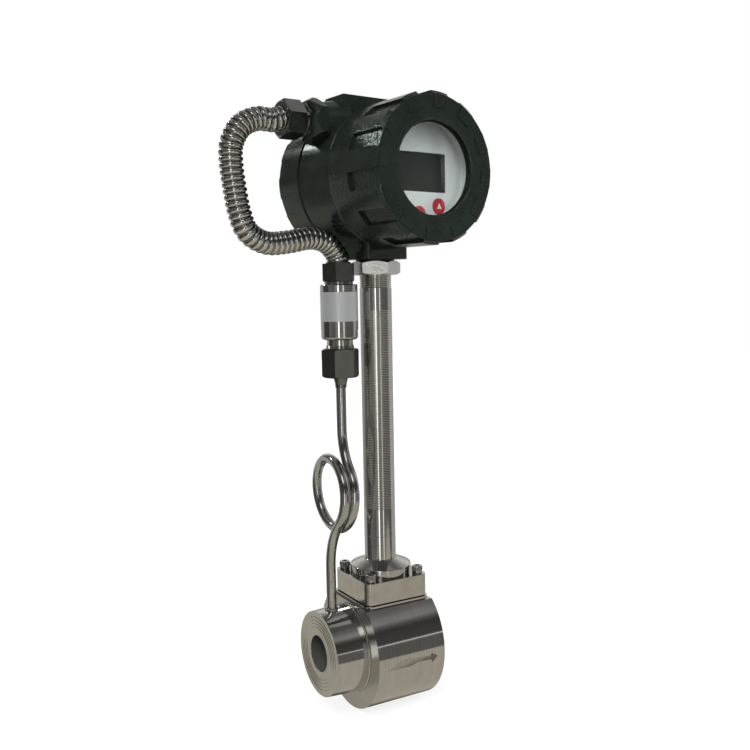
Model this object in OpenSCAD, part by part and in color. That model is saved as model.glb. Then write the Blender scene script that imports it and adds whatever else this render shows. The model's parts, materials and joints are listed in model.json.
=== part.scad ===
// Vortex flow meter with a siphon-fed pressure sensor and a converter head on a long neck.
// Origin at the centre of the inlet joint face, +X along the flow, +Z up the neck.

/* [Flow tube] */
// Bore of the meter body
bore_d = 29; // [26:0.1:29.4]
// Bore of the inlet hub
hub_bore_d = 29.7; // [29.6:0.1:32]
// Length of the inlet hub
hub_len = 28.6; // [25:0.2:36]
// Diameter of the hub at its joint face
hub_d = 69.8; // [66:0.2:71]
// How much wider the hub is at its weld
hub_flare = 3; // [0:0.5:5]
// Number of sealing grooves in the joint face
face_grooves = 4; // [2:1:5]
// Diameter of the meter body
body_d = 101.5; // [98:0.5:110]
// Length of the meter body
body_len = 62.7; // [62.6:0.1:75]
// Height of the raised outlet face
outlet_face_h = 2; // [1:0.5:3]
// Diameter of the raised outlet face
outlet_face_d = 68; // [60:1:72]
// Front width of the bluff body
bluff_w = 8.3; // [7:0.1:9.5]
// Length of the bluff body along the flow
bluff_len = 10.8; // [9:0.2:12]
// Distance from the neck axis back to the bluff body's front
bluff_x = 24; // [22:0.5:27]

/* [Neck flange] */
// Height of the milled seat above the bore axis
flat_z = 39.3; // [38.6:0.1:42]
// Width of the square neck flange
flange_w = 58.2; // [56:0.2:58.4]
// Thickness of the neck flange
flange_t = 18.1; // [14:0.1:24]
// Corner radius of the neck flange
flange_r = 6; // [3:0.5:8]
// Height of the pad under the flange
pad_t = 2.3; // [1.5:0.1:4]
// How far the pad stands out past the flange
pad_lip = 1.2; // [0.6:0.1:1.4]
// Thickness of the flange gasket
gasket_t = 0.6; // [0.4:0.1:1.5]
// Distance of each flange screw from the neck axis along X and Y
screw_pos = 22.5; // [21.8:0.1:23.5]
// Thread diameter of the flange screws
screw_d = 5; // [4:0.5:5]
// Depth of thread below the pad's top
screw_bite = 10; // [8:0.5:12]

/* [Neck] */
// Diameter of the neck tube
tube_d = 26.5; // [24:0.1:28]
// Wall of the neck tube
tube_wall = 2.5; // [2:0.1:4]
// Distance from the flange's top to the head
neck_len = 263; // [255:1:330]
// Diameter of the neck foot
foot_d = 51.4; // [46:0.2:53]
// Height of the foot's rim
foot_rim_h = 7.5; // [6:0.1:9]
// Height of the foot's cone
foot_cone_h = 5; // [3:0.1:8]
// Width of the locknut across its flats
locknut_af = 36; // [34:0.5:38]
// Height of the locknut
locknut_h = 11.2; // [8:0.1:14]
// Thickness of the washer above the locknut
neck_washer_t = 1.3; // [0.8:0.1:2]

/* [Siphon] */
// Diameter of the siphon tube
siphon_d = 8.2; // [7:0.1:8.6]
// Wall of the siphon tube
siphon_wall = 1.2; // [1:0.1:1.6]
// Distance from the inlet face to the siphon's foot
siphon_x = 13.1; // [12:0.1:14.5]
// Height of the loop's centre above the bore axis
loop_z = 131.2; // [126:0.2:140]
// How far the loop's centre lies behind the siphon's legs
loop_y = 5.9; // [4:0.1:8]
// Radius of the loop at the tube's centre
loop_r = 29.5; // [26:0.1:31]
// Radius of the bend below the loop
lower_bend_r = 56.8; // [50:0.2:60]
// Radius of the bend above the loop
upper_bend_r = 46.1; // [42:0.2:50]

/* [Pressure sensor] */
// Distance from the inlet face to the sensor's axis
sensor_x = 26.2; // [24.6:0.1:26.4]
// Height of the union nut's lower face above the bore axis
sensor_z = 228; // [222:0.5:234]
// Width of the union nut across its flats
union_af = 27; // [25:0.5:28]
// Height of the union nut
union_h = 23.5; // [20:0.5:26]
// Diameter of the sensor body
sensor_d = 30.4; // [28:0.1:31]
// Height of the sensor body
sensor_h = 44.5; // [40:0.5:50]
// Height of the turned neck below the sensor body
sensor_neck_h = 7.4; // [6:0.1:9]
// Width of the sensor's top nut across its flats
sensor_nut_af = 24; // [22:0.5:27]
// Height of the sensor's top nut
sensor_nut_h = 14.7; // [12:0.1:17]

/* [Conduit hose] */
// Outer diameter of the corrugated hose
hose_d = 18.2; // [17:0.1:18.6]
// Depth of the corrugations
hose_depth = 2; // [1.2:0.1:2.4]
// Length of one corrugation
hose_pitch = 4.6; // [4.2:0.1:6]

/* [Head] */
// Turn of the head on the neck, in degrees
head_turn = 5.9; // [4:0.1:8]
// Height of the neck block below the barrel
block_h = 7.5; // [5:0.1:12]
// Width of the neck block
block_w = 42; // [38:0.5:46]
// Depth of the neck block
block_d = 36.8; // [34:0.2:37]
// Outer radius of the housing barrel
barrel_r = 57.6; // [57:0.1:60]
// Distance from the neck axis to the front seam
front_seam = 18.7; // [18.6:0.1:24]
// Distance from the neck axis to the rear seam
rear_seam = 21.8; // [21:0.1:28]
// Gap at each cover's seam
seam_gap = 0.4; // [0.3:0.1:1]
// Width of the groove at the rear seam
rear_groove = 1.6; // [1.2:0.1:2.5]
// Radius of the threaded collars
collar_r = 52; // [51:0.1:53]
// Length of the threaded collars
collar_len = 12; // [11.5:0.1:14]
// Bore radius of the housing
cavity_r = 48.5; // [47.5:0.1:49]
// Depth of the cable entries' axis below the barrel's top
entry_depth = 16.3; // [15.6:0.1:17]
// Distance of the entry axis behind the neck axis
entry_back = 1.5; // [0.5:0.1:3]
// How far each entry's face stands out past the barrel's side
entry_out = 4.9; // [3:0.1:7]
// Width of each entry boss across its flats
boss_af = 32.5; // [31:0.1:34]
// Length of each boss's hexagon
boss_hex_len = 11; // [9:0.1:12]
// Thread radius of the cable entries
entry_r = 9.2; // [8.5:0.1:10]
// Height of the ridge above the barrel's top
ridge_h = 5.4; // [4:0.1:8]
// Half length of the ridge
ridge_half = 38; // [34:0.5:42]
// Width of the ridge
ridge_w = 30; // [26:0.5:32]

/* [Covers] */
// Distance from the neck axis to the front cover's rim
rim_front = 81.2; // [80:0.1:90]
// Distance from the neck axis to the rear cover's back
rear_back = 55.7; // [54:0.1:62]
// Outer radius of the front cover's lugs
lug_r = 57; // [56.5:0.1:59]
// Depth of the pockets between the front lugs
pocket_depth = 2.6; // [1.5:0.1:3]
// Length of the pockets in the front cover
pocket_len = 36.2; // [30:0.2:40]
// Outer radius of the rear cover's lugs
rear_lug_r = 58.7; // [58:0.1:59.5]
// Depth of the pockets between the rear lugs
rear_pocket_depth = 1.5; // [0.8:0.1:2.5]
// Length of the pockets in the rear cover
rear_pocket_len = 20; // [14:0.5:24]
// Number of lugs on each cover
lugs = 12; // [10:1:14]
// Window radius in the front cover
window_r = 35.4; // [32:0.1:37]
// Thickness of the window glass
glass_t = 5; // [4:0.1:6]
// Distance from the rim back to the window glass
glass_inset = 6.7; // [6:0.1:8]

/* [Display] */
// Distance from the neck axis to the face plate's front
plate_front = 58; // [55:0.1:59]
// Radius of the face plate
plate_r = 41.8; // [40:0.1:42]
// Width of the display's window
lcd_w = 54; // [48:0.5:56]
// Height of the display's window
lcd_h = 30; // [26:0.5:31]
// Diameter of the keys
key_d = 12.4; // [10:0.1:13]
// Radius of the circle that the keys lie on
key_circle = 32.5; // [31.5:0.1:33]
// Angle between neighbouring keys
key_step = 37; // [32:0.5:42]
// Travel of a key
key_travel = 0.6; // [0.3:0.1:0.8]

/* [Hidden] */
$fn = 96;
EPS = 0.01;

// Clearances
slip = 0.05;
thread_gap = 0.1;
loose = 0.3;

// Stations along the flow and up the neck
neck_offset = 0.65;
neck_x = hub_len + body_len / 2 + neck_offset;
bore_r = bore_d / 2;
hub_bore_r = hub_bore_d / 2;
weld_w = 0.9;
hub_root_r = (hub_d + hub_flare) / 2;
pad_z = flat_z + pad_t;
flange_z = pad_z + gasket_t;
foot_z = flange_z + flange_t;
block_z = foot_z + neck_len;
block_drop = barrel_r + block_h;
head_z = block_z + block_drop;
tube_r = tube_d / 2;
tube_bore_r = tube_r - tube_wall;
tube_seat_z = foot_z + 3;
tube_bite = 12.5;

// Probe and its well
well_r = 8.2;
well_top_r = 15;
well_z = 30;
probe_seal_t = 1;
probe_top_z = foot_z - 8;
fin_t = 2.4;
fin_len = 9;
fin_tip_z = -6;

// Screws and washers of the flange
spring_t = 1.4;
screw_head_d = 1.7 * screw_d;

// Siphon: bends, tilt of the coil and its steps
siphon_r = siphon_d / 2;
lower_bend = acos((loop_y + lower_bend_r) / (lower_bend_r + loop_r));
upper_bend = acos((loop_y + upper_bend_r) / (upper_bend_r + loop_r));
lower_bend_z = loop_z - (lower_bend_r + loop_r) * sin(lower_bend);
upper_bend_z = loop_z + (upper_bend_r + loop_r) * sin(upper_bend);
coil_steps = 10;
coil_turn = (360 + lower_bend + upper_bend) / coil_steps;
coil_reach = sensor_x - siphon_x;
bend_reach = lower_bend_r * tan(lower_bend / 2) + upper_bend_r * tan(upper_bend / 2);
coil_tilt = asin(coil_reach / (bend_reach + 2 * coil_steps * loop_r * tan(coil_turn / 2)));
coil_arc = 2 * asin(sin(coil_turn / 2) * cos(coil_tilt));
coil_twist = 2 * asin(sin(coil_turn / 2) * sin(coil_tilt) / cos(coil_arc / 2));
siphon_foot_z = 30;
tap_r = 2.5;
weld_bead = 2.2;
joint_step = 0.03;

// Stations up the sensor
ferrule_drop = 8.5;
siphon_end_z = sensor_z + 6;
union_top_z = sensor_z + union_h;
stem_len = 11;
stem_r = 9;
sensor_body_z = union_top_z + sensor_neck_h;
sensor_top_z = sensor_body_z + sensor_h;
sensor_thread_h = 2.1;
sensor_thread_r = 11.5;
sensor_nut_z = sensor_top_z + sensor_thread_h;
hose_start_z = sensor_nut_z + sensor_nut_h;
hose_rim_h = 1.3;
hose_r = hose_d / 2;
hose_bore_r = hose_r - hose_depth - 0.8;
hose_sides = 12;
hose_bite = 8;

// Cable entries and the connector at the left one
entry_h = barrel_r - entry_depth;
entry_face = barrel_r + entry_out;
entry_thread_len = 16;
entry_lip = 1.2;
ridge_top = barrel_r + ridge_h;
boss_flare = 3;
boss_taper = 27;
boss_end_r = boss_af / 2 - 0.5;
gland_bore_r = entry_r - 2.5;
gland_bite = 14;
gland_hex_af = 25.5;
gland_hex_t = 4.4;
gland_hex_turn = 20;
gland_neck_r = 11.5;
gland_nut_len = 16.1;
gland_nut_af = 26.5;
gland_nut_turn = 12;
gland_nut_gap = 2.6;
gland_spigot_r = 10.4;
gland_spigot_len = 4;
gland_nut_s = entry_face + gland_hex_t + gland_nut_gap;
gland_end_s = gland_nut_s + gland_nut_len;

// Stations through the head, counted along the head's axis towards the window
collar_front = front_seam + collar_len;
collar_rear = rear_seam + collar_len;
partition_rear = 10;
partition_front = 13.5;
barrel_draft = 0.9;
rim_bevel = 2.6;
face_drop = 0.6;
window_lip = 1;
gasket_thick = 0.8;
glass_front = rim_front - glass_inset;
glass_back = glass_front - glass_t;
glass_r = 45;
ring_t = 3;
ring_bore_r = 41.5;
seat_r = glass_r + loose;
shell_r = 50.5;
groove_r = 54.5;
groove_half = 1.4;
groove_depth = 2.4;
oring_r = 1.2;

// Boards and pillars inside the head
pillar_circle = 40;
pillar_af = 5.5;
pillar_stud_r = 1.45;
board_t = 1.6;
board_r = 44;
amp_board_z = 20;
frame_floor_t = 2;
plate_t = 1;
frame_wall_t = 2.4;
frame_floor_z = plate_front - plate_t - frame_floor_t;
frame_rim_z = glass_back - ring_t - 0.8;
display_board_z = frame_floor_z - 9;
display_board_front = display_board_z + board_t;
key_proud = 0.6;
key_shoulder = 1;
key_shoulder_t = 1.2;
switch_h = 3.4;
lcd_shift = -0.4;
lcd_rim = 3;
supply_w = 24;
supply_h = 12;
chip_w = 14;
chip_h = 3;
can_r = 4;
can_h = 10;
post_r = 3;
post_circle = 38.5;
key_stem_d = 3.4;
switch_w = 6;
switch_base_h = 2.6;
screw_head_r = 2.75;

// Terminal block on the partition's rear face
terminal_w = 52;
terminal_tall = 18;
terminal_low = -18;
terminal_deep = 15;
terminal_well = 5;
terminal_ways = 6;
terminal_rib = 1.6;
terminal_screw_r = 1.5;
terminal_bite = 6;
terminal_end = 3;
terminal_pitch = (terminal_w - 2 * terminal_end) / terminal_ways;
ground_screw_r = 2;

// Places a child along the flow, its local Z on +X
module along_flow(x) {
    translate([x, 0, 0]) rotate([0, 90, 0]) children();
}

// Places a child on the neck axis
module on_neck(z) {
    translate([neck_x, 0, z]) children();
}

// Places a child on the sensor's axis
module on_sensor(z) {
    translate([sensor_x, 0, z]) children();
}

// Head frame: X to the right seen from the window, Y up, Z out of the window
module in_head() {
    translate([neck_x, 0, head_z]) rotate([0, 0, head_turn]) rotate([90, 0, 0]) children();
}

// A point of the head frame in the part's frame
function head_point(s, h, d) = [
    neck_x + s * cos(head_turn) + d * sin(head_turn),
    s * sin(head_turn) - d * cos(head_turn),
    head_z + h
];

// Block with rounded vertical corners, centred on Z
module rounded_block(w, d, h, r) {
    translate([-w / 2 + r, -d / 2, 0]) cube([w - 2 * r, d, h]);
    translate([-w / 2, -d / 2 + r, 0]) cube([w, d - 2 * r, h]);
    for (sx = [-1, 1], sy = [-1, 1])
        translate([sx * (w / 2 - r), sy * (d / 2 - r), 0]) cylinder(r = r, h = h);
}

// Hexagon with turned chamfers at the ends that are asked for
module hex_body(af, h, low, high) {
    corner = af / cos(30) / 2;
    cut = corner - af / 2 + 0.2;
    drop = cut * tan(30);
    intersection() {
        cylinder(r = corner, h = h, $fn = 6);
        rotate_extrude() polygon([
            [0, 0],
            [corner - (low ? cut : -1), 0],
            [corner + 1, low ? drop * (cut + 1) / cut : 0],
            [corner + 1, high ? h - drop * (cut + 1) / cut : h],
            [corner - (high ? cut : -1), h],
            [0, h]
        ]);
    }
}

// Four screw places on the flange
module at_screw(i, z) {
    sx = i == 1 || i == 4 ? -1 : 1;
    sy = i < 3 ? -1 : 1;
    translate([neck_x + sx * screw_pos, sy * screw_pos, z]) children();
}

// Flow tube

module meter_body() {
    pad_w = flange_w + 2 * pad_lip;
    color("silver") difference() {
        union() {
            difference() {
                along_flow(hub_len) cylinder(d = body_d, h = body_len);
                translate([0, -body_d, flat_z]) cube([2 * neck_x, 2 * body_d, body_d]);
            }
            on_neck(flat_z - 1)
                rounded_block(pad_w, pad_w, pad_t + 1, flange_r + pad_lip);
            along_flow(hub_len + body_len - EPS)
                cylinder(d = outlet_face_d, h = outlet_face_h + EPS);
        }
        along_flow(0) cylinder(r = bore_r, h = 2 * neck_x);
        along_flow(hub_len - EPS) cylinder(r1 = hub_bore_r, r2 = bore_r, h = hub_bore_r - bore_r);
        on_neck(0) cylinder(r = well_r, h = pad_z + 1);
        on_neck(well_z) cylinder(r = well_top_r, h = pad_z);
        for (i = [1:4]) at_screw(i, pad_z - screw_bite - 2) cylinder(d = screw_d, h = screw_bite + 3);
        along_flow(hub_len + body_len + outlet_face_h) face_rings(outlet_face_d / 2);
    }
}

// Fine sealing grooves turned into a joint face, cut downwards from Z 0
module face_rings(outer_r) {
    ring_step = 1.5;
    ring_depth = 0.4;
    for (i = [1:face_grooves])
        rotate_extrude() translate([outer_r - 2.4 - i * ring_step, 0])
            polygon([[-ring_depth, 0.1], [0, -ring_depth], [ring_depth, 0.1]]);
}

module hub_outline() {
    along_flow(0) cylinder(d1 = hub_d, r2 = hub_root_r, h = hub_len);
}

module inlet_hub() {
    color("silver") difference() {
        union() {
            hub_outline();
            along_flow(hub_len - weld_w) cylinder(r = hub_root_r + 0.7, h = weld_w);
        }
        along_flow(-1) cylinder(r = hub_bore_r, h = hub_len + 2);
        mirror([1, 0, 0]) along_flow(0) face_rings(hub_d / 2);
        translate([siphon_x, 0, siphon_foot_z])
            cylinder(r = siphon_r + slip, h = hub_root_r);
        translate([siphon_x, 0, 0]) cylinder(r = tap_r, h = hub_root_r);
    }
}

module bluff_body() {
    tail_w = bluff_w / 3;
    color("gray") intersection() {
        translate([neck_x - bluff_x, 0, -bore_r]) linear_extrude(bore_d) polygon([
            [0, -bluff_w / 2], [1.5, -bluff_w / 2], [bluff_len, -tail_w / 2],
            [bluff_len, tail_w / 2], [1.5, bluff_w / 2], [0, bluff_w / 2]
        ]);
        along_flow(0) cylinder(r = bore_r - slip, h = 2 * neck_x);
    }
}

module vortex_probe() {
    collar_z = well_z + probe_seal_t;
    stem_z = bore_r + 0.6;
    color("dimgray") {
        on_neck(collar_z) cylinder(r = well_top_r - 0.2, h = flange_z - collar_z);
        on_neck(stem_z) cylinder(r = well_r - 0.2, h = collar_z - stem_z + 1);
        on_neck(collar_z) cylinder(r = tube_bore_r - 1.5, h = probe_top_z - collar_z);
        on_neck(fin_tip_z) translate([-fin_len / 2, -fin_t / 2, 0])
            cube([fin_len, fin_t, stem_z - fin_tip_z + 1]);
    }
}

module probe_seal() {
    color("white") on_neck(well_z) difference() {
        cylinder(r = well_top_r - 0.4, h = probe_seal_t);
        translate([0, 0, -1]) cylinder(r = well_r + 0.2, h = probe_seal_t + 2);
    }
}

// Neck flange

module flange_gasket() {
    color("dimgray") on_neck(pad_z) difference() {
        rounded_block(flange_w - 2.4, flange_w - 2.4, gasket_t, flange_r - 1);
        translate([0, 0, -1]) cylinder(r = well_top_r + 1, h = gasket_t + 2);
        for (sx = [-1, 1], sy = [-1, 1])
            translate([sx * screw_pos, sy * screw_pos, -1]) cylinder(d = screw_d + 0.5, h = gasket_t + 2);
    }
}

module neck_flange() {
    color("silver") difference() {
        on_neck(flange_z) rounded_block(flange_w, flange_w, flange_t, flange_r);
        on_neck(0) cylinder(r = tube_bore_r, h = foot_z + 1);
        for (i = [1:4]) at_screw(i, 0) cylinder(d = screw_d + 0.5, h = foot_z + 1);
    }
}

module flange_screw(i) {
    head_z0 = foot_z + spring_t;
    shank_z = pad_z - screw_bite;
    socket_af = 0.8 * screw_d;
    color("gainsboro") difference() {
        union() {
            at_screw(i, shank_z) cylinder(r = screw_d / 2 - slip, h = head_z0 - shank_z + 1);
            at_screw(i, head_z0) cylinder(d = screw_head_d, h = screw_d - 0.4);
            at_screw(i, head_z0 + screw_d - 0.4)
                cylinder(d1 = screw_head_d, d2 = screw_head_d - 0.8, h = 0.4);
        }
        at_screw(i, head_z0 + 0.45 * screw_d)
            cylinder(r = socket_af / cos(30) / 2, h = screw_d, $fn = 6);
    }
}

module spring_washer(i) {
    split_w = 0.8;
    color("gray") at_screw(i, foot_z) difference() {
        cylinder(d = screw_head_d + 0.3, h = spring_t);
        translate([0, 0, -1]) cylinder(d = screw_d + 0.2, h = spring_t + 2);
        translate([0, -split_w / 2, -1]) cube([screw_head_d, split_w, spring_t + 2]);
    }
}

// Neck

module neck_foot() {
    edge = 0.6;
    foot_r = foot_d / 2;
    color("silver") on_neck(foot_z) difference() {
        rotate_extrude() polygon([
            [0, 0], [foot_r, 0], [foot_r, foot_rim_h - edge], [foot_r - edge, foot_rim_h],
            [tube_r + 1, foot_rim_h + foot_cone_h - 0.5], [tube_r + 0.6, foot_rim_h + foot_cone_h],
            [0, foot_rim_h + foot_cone_h]
        ]);
        translate([0, 0, -1]) cylinder(r = tube_bore_r, h = foot_rim_h);
        translate([0, 0, tube_seat_z - foot_z]) cylinder(r = tube_r + slip, h = foot_rim_h + foot_cone_h);
    }
}

module neck_tube() {
    top_z = block_z + tube_bite;
    color("silver") difference() {
        on_neck(tube_seat_z) cylinder(r = tube_r, h = top_z - tube_seat_z);
        on_neck(tube_seat_z - 1) cylinder(r = tube_bore_r, h = top_z - tube_seat_z + 2);
    }
}

module neck_locknut() {
    color("gainsboro") on_neck(block_z - neck_washer_t - locknut_h) rotate([0, 0, 30]) difference() {
        hex_body(locknut_af, locknut_h, true, true);
        translate([0, 0, -1]) cylinder(r = tube_r + slip, h = locknut_h + 2);
    }
}

module neck_washer() {
    color("black") on_neck(block_z - neck_washer_t) difference() {
        cylinder(r = tube_r + 2.6, h = neck_washer_t);
        translate([0, 0, -1]) cylinder(r = tube_r + 0.2, h = neck_washer_t + 2);
    }
}

module probe_lead() {
    lead_r = 1.8;
    color("black") on_neck(probe_top_z) cylinder(r = lead_r, h = head_z + terminal_low - probe_top_z);
}

// Siphon: a chain of straight and bent lengths, each starting where the last one ends

module straight_length(r, l) {
    cylinder(r = r, h = l);
    translate([0, 0, l]) children();
}

// A bend stops just short of both ends, where a thin disc joins it to its neighbours
module bent_length(r, bend_r, a) {
    joint = 0.2;
    short = asin(joint / 2 / bend_r);
    translate([0, 0, -joint]) cylinder(r = r + joint_step, h = 2 * joint);
    translate([bend_r, 0, 0]) rotate([90, 0, 180]) rotate([0, 0, short])
        rotate_extrude(angle = a - 2 * short) translate([bend_r, 0]) circle(r = r);
    translate([bend_r * (1 - cos(a)), 0, bend_r * sin(a)]) rotate([0, a, 0]) {
        translate([0, 0, -joint]) cylinder(r = r + joint_step, h = 2 * joint);
        children();
    }
}

// Equal arcs, each with the same twist, make a true screw line
module coil(r, steps) {
    if (steps > 0)
        rotate([0, 0, -coil_twist / 2]) bent_length(r, loop_r, coil_arc)
            rotate([0, 0, -coil_twist / 2]) coil(r, steps - 1) children();
    else
        children();
}

// Turn of a bend's plane that gives its end the coil's tilt
function lead_turn(bend) = asin(sin(coil_tilt) / sin(bend));

// Twist between that bend and the coil
function lead_twist(bend) =
    180 - asin(sin(lead_turn(bend)) * cos(bend) / cos(coil_tilt));

module siphon_line(r) {
    translate([siphon_x, 0, siphon_foot_z])
        straight_length(r, lower_bend_z - siphon_foot_z)
        rotate([0, 0, lead_turn(lower_bend) - 90])
        bent_length(r, lower_bend_r, lower_bend)
        rotate([0, 0, lead_twist(lower_bend)])
        coil(r, coil_steps)
        rotate([0, 0, lead_twist(upper_bend)])
        bent_length(r, upper_bend_r, upper_bend)
        straight_length(r, siphon_end_z - upper_bend_z);
}

module siphon_tube() {
    color("silver") {
        difference() {
            siphon_line(siphon_r);
            siphon_line(siphon_r - siphon_wall);
        }
        siphon_weld();
    }
}

module siphon_weld() {
    bead_z = hub_root_r - 1.6;
    difference() {
        translate([siphon_x, 0, bead_z]) difference() {
            cylinder(r1 = siphon_r + weld_bead, r2 = siphon_r, h = weld_bead + 1);
            translate([0, 0, -1]) cylinder(r = siphon_r - siphon_wall / 2, h = weld_bead + 4);
        }
        hub_outline();
    }
}

// Pressure sensor

module union_ferrule() {
    nose_h = 3;
    color("silver") on_sensor(sensor_z - ferrule_drop) difference() {
        rotate_extrude() polygon([
            [0, 0], [siphon_r + 0.5, 0], [siphon_r + 0.7, nose_h],
            [siphon_r + 1.9, ferrule_drop - 0.6], [siphon_r + 1.9, ferrule_drop + 4], [0, ferrule_drop + 4]
        ]);
        translate([0, 0, -1]) cylinder(r = siphon_r + loose, h = ferrule_drop + 6);
    }
}

module union_nut() {
    cavity_z = 5;
    color("silver") on_sensor(sensor_z) rotate([0, 0, 46]) difference() {
        hex_body(union_af, union_h, true, true);
        translate([0, 0, -1]) cylinder(r = siphon_r + 1.9 + slip, h = union_h);
        translate([0, 0, cavity_z]) cylinder(r = stem_r + slip, h = union_h);
    }
}

module pressure_sensor() {
    neck_r = 10.65;
    thread_r = 11.2;
    thread_h = 2.6;
    bevel = 2;
    flat_h = 8;
    flat_depth = 0.7;
    flat_cut = 10;
    sensor_r = sensor_d / 2;
    color("gainsboro") on_sensor(union_top_z) difference() {
        union() {
            translate([0, 0, -stem_len]) cylinder(r = stem_r, h = stem_len + 1);
            cylinder(r = thread_r, h = thread_h);
            cylinder(r = neck_r, h = sensor_neck_h + 1);
            translate([0, 0, sensor_neck_h]) rotate_extrude() polygon([
                [0, 0], [sensor_r - bevel, 0], [sensor_r, bevel], [sensor_r, sensor_h - 0.8],
                [sensor_r - 0.8, sensor_h], [0, sensor_h]
            ]);
            translate([0, 0, sensor_neck_h + sensor_h - 1])
                cylinder(r = sensor_thread_r, h = sensor_thread_h + 1);
        }
        // Flats for the spanner
        rotate([0, 0, -36]) for (side = [-1, 1])
            translate([side * (sensor_r - flat_depth + flat_cut / 2), 0, sensor_neck_h + flat_h / 2])
                cube([flat_cut, sensor_d, flat_h + EPS], center = true);
        // Pressure port in the stem
        translate([0, 0, -stem_len - 1]) cylinder(r = tap_r, h = stem_len);
    }
}

module sensor_nut() {
    color("silver") on_sensor(sensor_nut_z) rotate([0, 0, 54]) difference() {
        hex_body(sensor_nut_af, sensor_nut_h, true, false);
        translate([0, 0, sensor_nut_h - hose_bite])
            cylinder(r = hose_r + slip, h = hose_bite + 1);
    }
}

module hose_ferrule() {
    color("silver") on_sensor(hose_start_z) difference() {
        cylinder(r = hose_r + 0.9, h = hose_rim_h);
        translate([0, 0, -1]) cylinder(r = hose_r + slip, h = hose_rim_h + 2);
    }
}

// Conduit hose: one closed sweep of corrugated rings along its route

hose_foot = [sensor_x, 0, hose_start_z];
hose_head = head_point(-gland_end_s, entry_h, -entry_back);
hose_span = [hose_head[0] - hose_foot[0], hose_head[1] - hose_foot[1]];
hose_reach = norm(hose_span);
hose_way = [hose_span[0] / hose_reach, hose_span[1] / hose_reach, 0];
hose_side = [-hose_way[1], hose_way[0], 0];
hose_rise = hose_head[2] - hose_foot[2];

// Route as shares of the reach and of the rise between the two nuts
hose_shape = [
    [0, 0.04], [0.22, 0.15], [0.53, 0.18], [0.92, 0.15], [1.31, 0.14], [1.61, 0.21],
    [1.74, 0.34], [1.81, 0.51], [1.85, 0.67], [1.83, 0.80], [1.67, 0.92], [1.4, 0.98],
    [1.18, 0.98]
];
function route_ends(u, v) = [u / hose_reach, v / hose_rise];
hose_route = concat(
    [route_ends(0, -3 * hose_bite / 2), route_ends(0, -hose_bite + 1), [0, 0]],
    hose_shape,
    [[1, 1], [1 - (hose_bite - 1) / hose_reach, 1], [1 - 3 * hose_bite / 2 / hose_reach, 1]]
);

function spline(a, b, c, d, t) =
    (2 * b + (c - a) * t + (2 * a - 5 * b + 4 * c - d) * t * t + (3 * b - a - 3 * c + d) * t * t * t) / 2;

route_steps = 8;
route_line = [
    for (i = [1:len(hose_route) - 3], j = [0:route_steps - 1])
        spline(hose_route[i - 1], hose_route[i], hose_route[i + 1], hose_route[i + 2], j / route_steps),
    hose_route[len(hose_route) - 2]
];
route_mm = [for (p = route_line) [p[0] * hose_reach, p[1] * hose_rise]];
route_last = len(route_mm) - 1;
route_len = [
    for (i = 0, s = 0; i <= route_last; s = s + norm(route_mm[min(i + 1, route_last)] - route_mm[i]), i = i + 1)
        s
];
hose_len = route_len[route_last];
route_u = [for (i = [0:route_last]) [route_len[i], route_mm[i][0]]];
route_v = [for (i = [0:route_last]) [route_len[i], route_mm[i][1]]];
function route_at(s) = [lookup(s, route_u), lookup(s, route_v)];
function route_dir(s) = route_at(min(s + 1, hose_len)) - route_at(max(s - 1, 0));

function hose_ring(s, r) = let (p = route_at(s), d = route_dir(s) / norm(route_dir(s))) [
    for (k = [0:hose_sides - 1]) let (a = 360 * k / hose_sides)
        hose_foot + (p[0] - r * cos(a) * d[1]) * hose_way
        + [0, 0, p[1] + r * cos(a) * d[0]] + r * sin(a) * hose_side
];

module conduit_hose() {
    turns = round(hose_len / hose_pitch);
    outside = [for (i = [0:4 * turns])
        [i * hose_len / turns / 4, hose_r - hose_depth / 2 * (1 + cos(90 * i))]];
    inside = [for (i = [turns:-1:0]) [i * hose_len / turns, hose_bore_r]];
    rings = concat(outside, inside);
    count = len(rings);
    points = [for (q = rings) each hose_ring(q[0], q[1])];
    faces = [for (i = [0:count - 1], k = [0:hose_sides - 1])
        let (j = (i + 1) % count, m = (k + 1) % hose_sides)
        [i * hose_sides + k, i * hose_sides + m, j * hose_sides + m, j * hose_sides + k]];
    color("lightgray") polyhedron(points, faces);
}

// Connector between hose and head, drawn along the left entry's axis

module at_left_entry(s) {
    in_head() translate([-s, entry_h, -entry_back]) rotate([0, -90, 0]) children();
}

module gland_nut() {
    color("silver") at_left_entry(gland_nut_s) rotate([0, 0, gland_nut_turn]) difference() {
        hex_body(gland_nut_af, gland_nut_len, true, true);
        translate([0, 0, -1]) cylinder(r = gland_spigot_r + slip, h = gland_spigot_len + 1.5);
        translate([0, 0, -1]) cylinder(r = hose_r + 0.4, h = gland_nut_len + 2);
    }
}

module gland_body() {
    color("silver") difference() {
        union() {
            at_left_entry(entry_face - gland_bite) cylinder(r = entry_r - slip, h = gland_bite + 1);
            at_left_entry(entry_face) rotate([0, 0, gland_hex_turn])
                hex_body(gland_hex_af, gland_hex_t, false, true);
            at_left_entry(entry_face + 1) cylinder(r = gland_neck_r, h = gland_nut_s - entry_face - 1);
            at_left_entry(gland_nut_s - 1) cylinder(r = gland_spigot_r, h = gland_spigot_len + 1);
        }
        at_left_entry(entry_face - gland_bite - 1)
            cylinder(r = gland_bore_r, h = gland_nut_s - entry_face + gland_bite + gland_spigot_len + 2);
    }
}

// Housing

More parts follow.
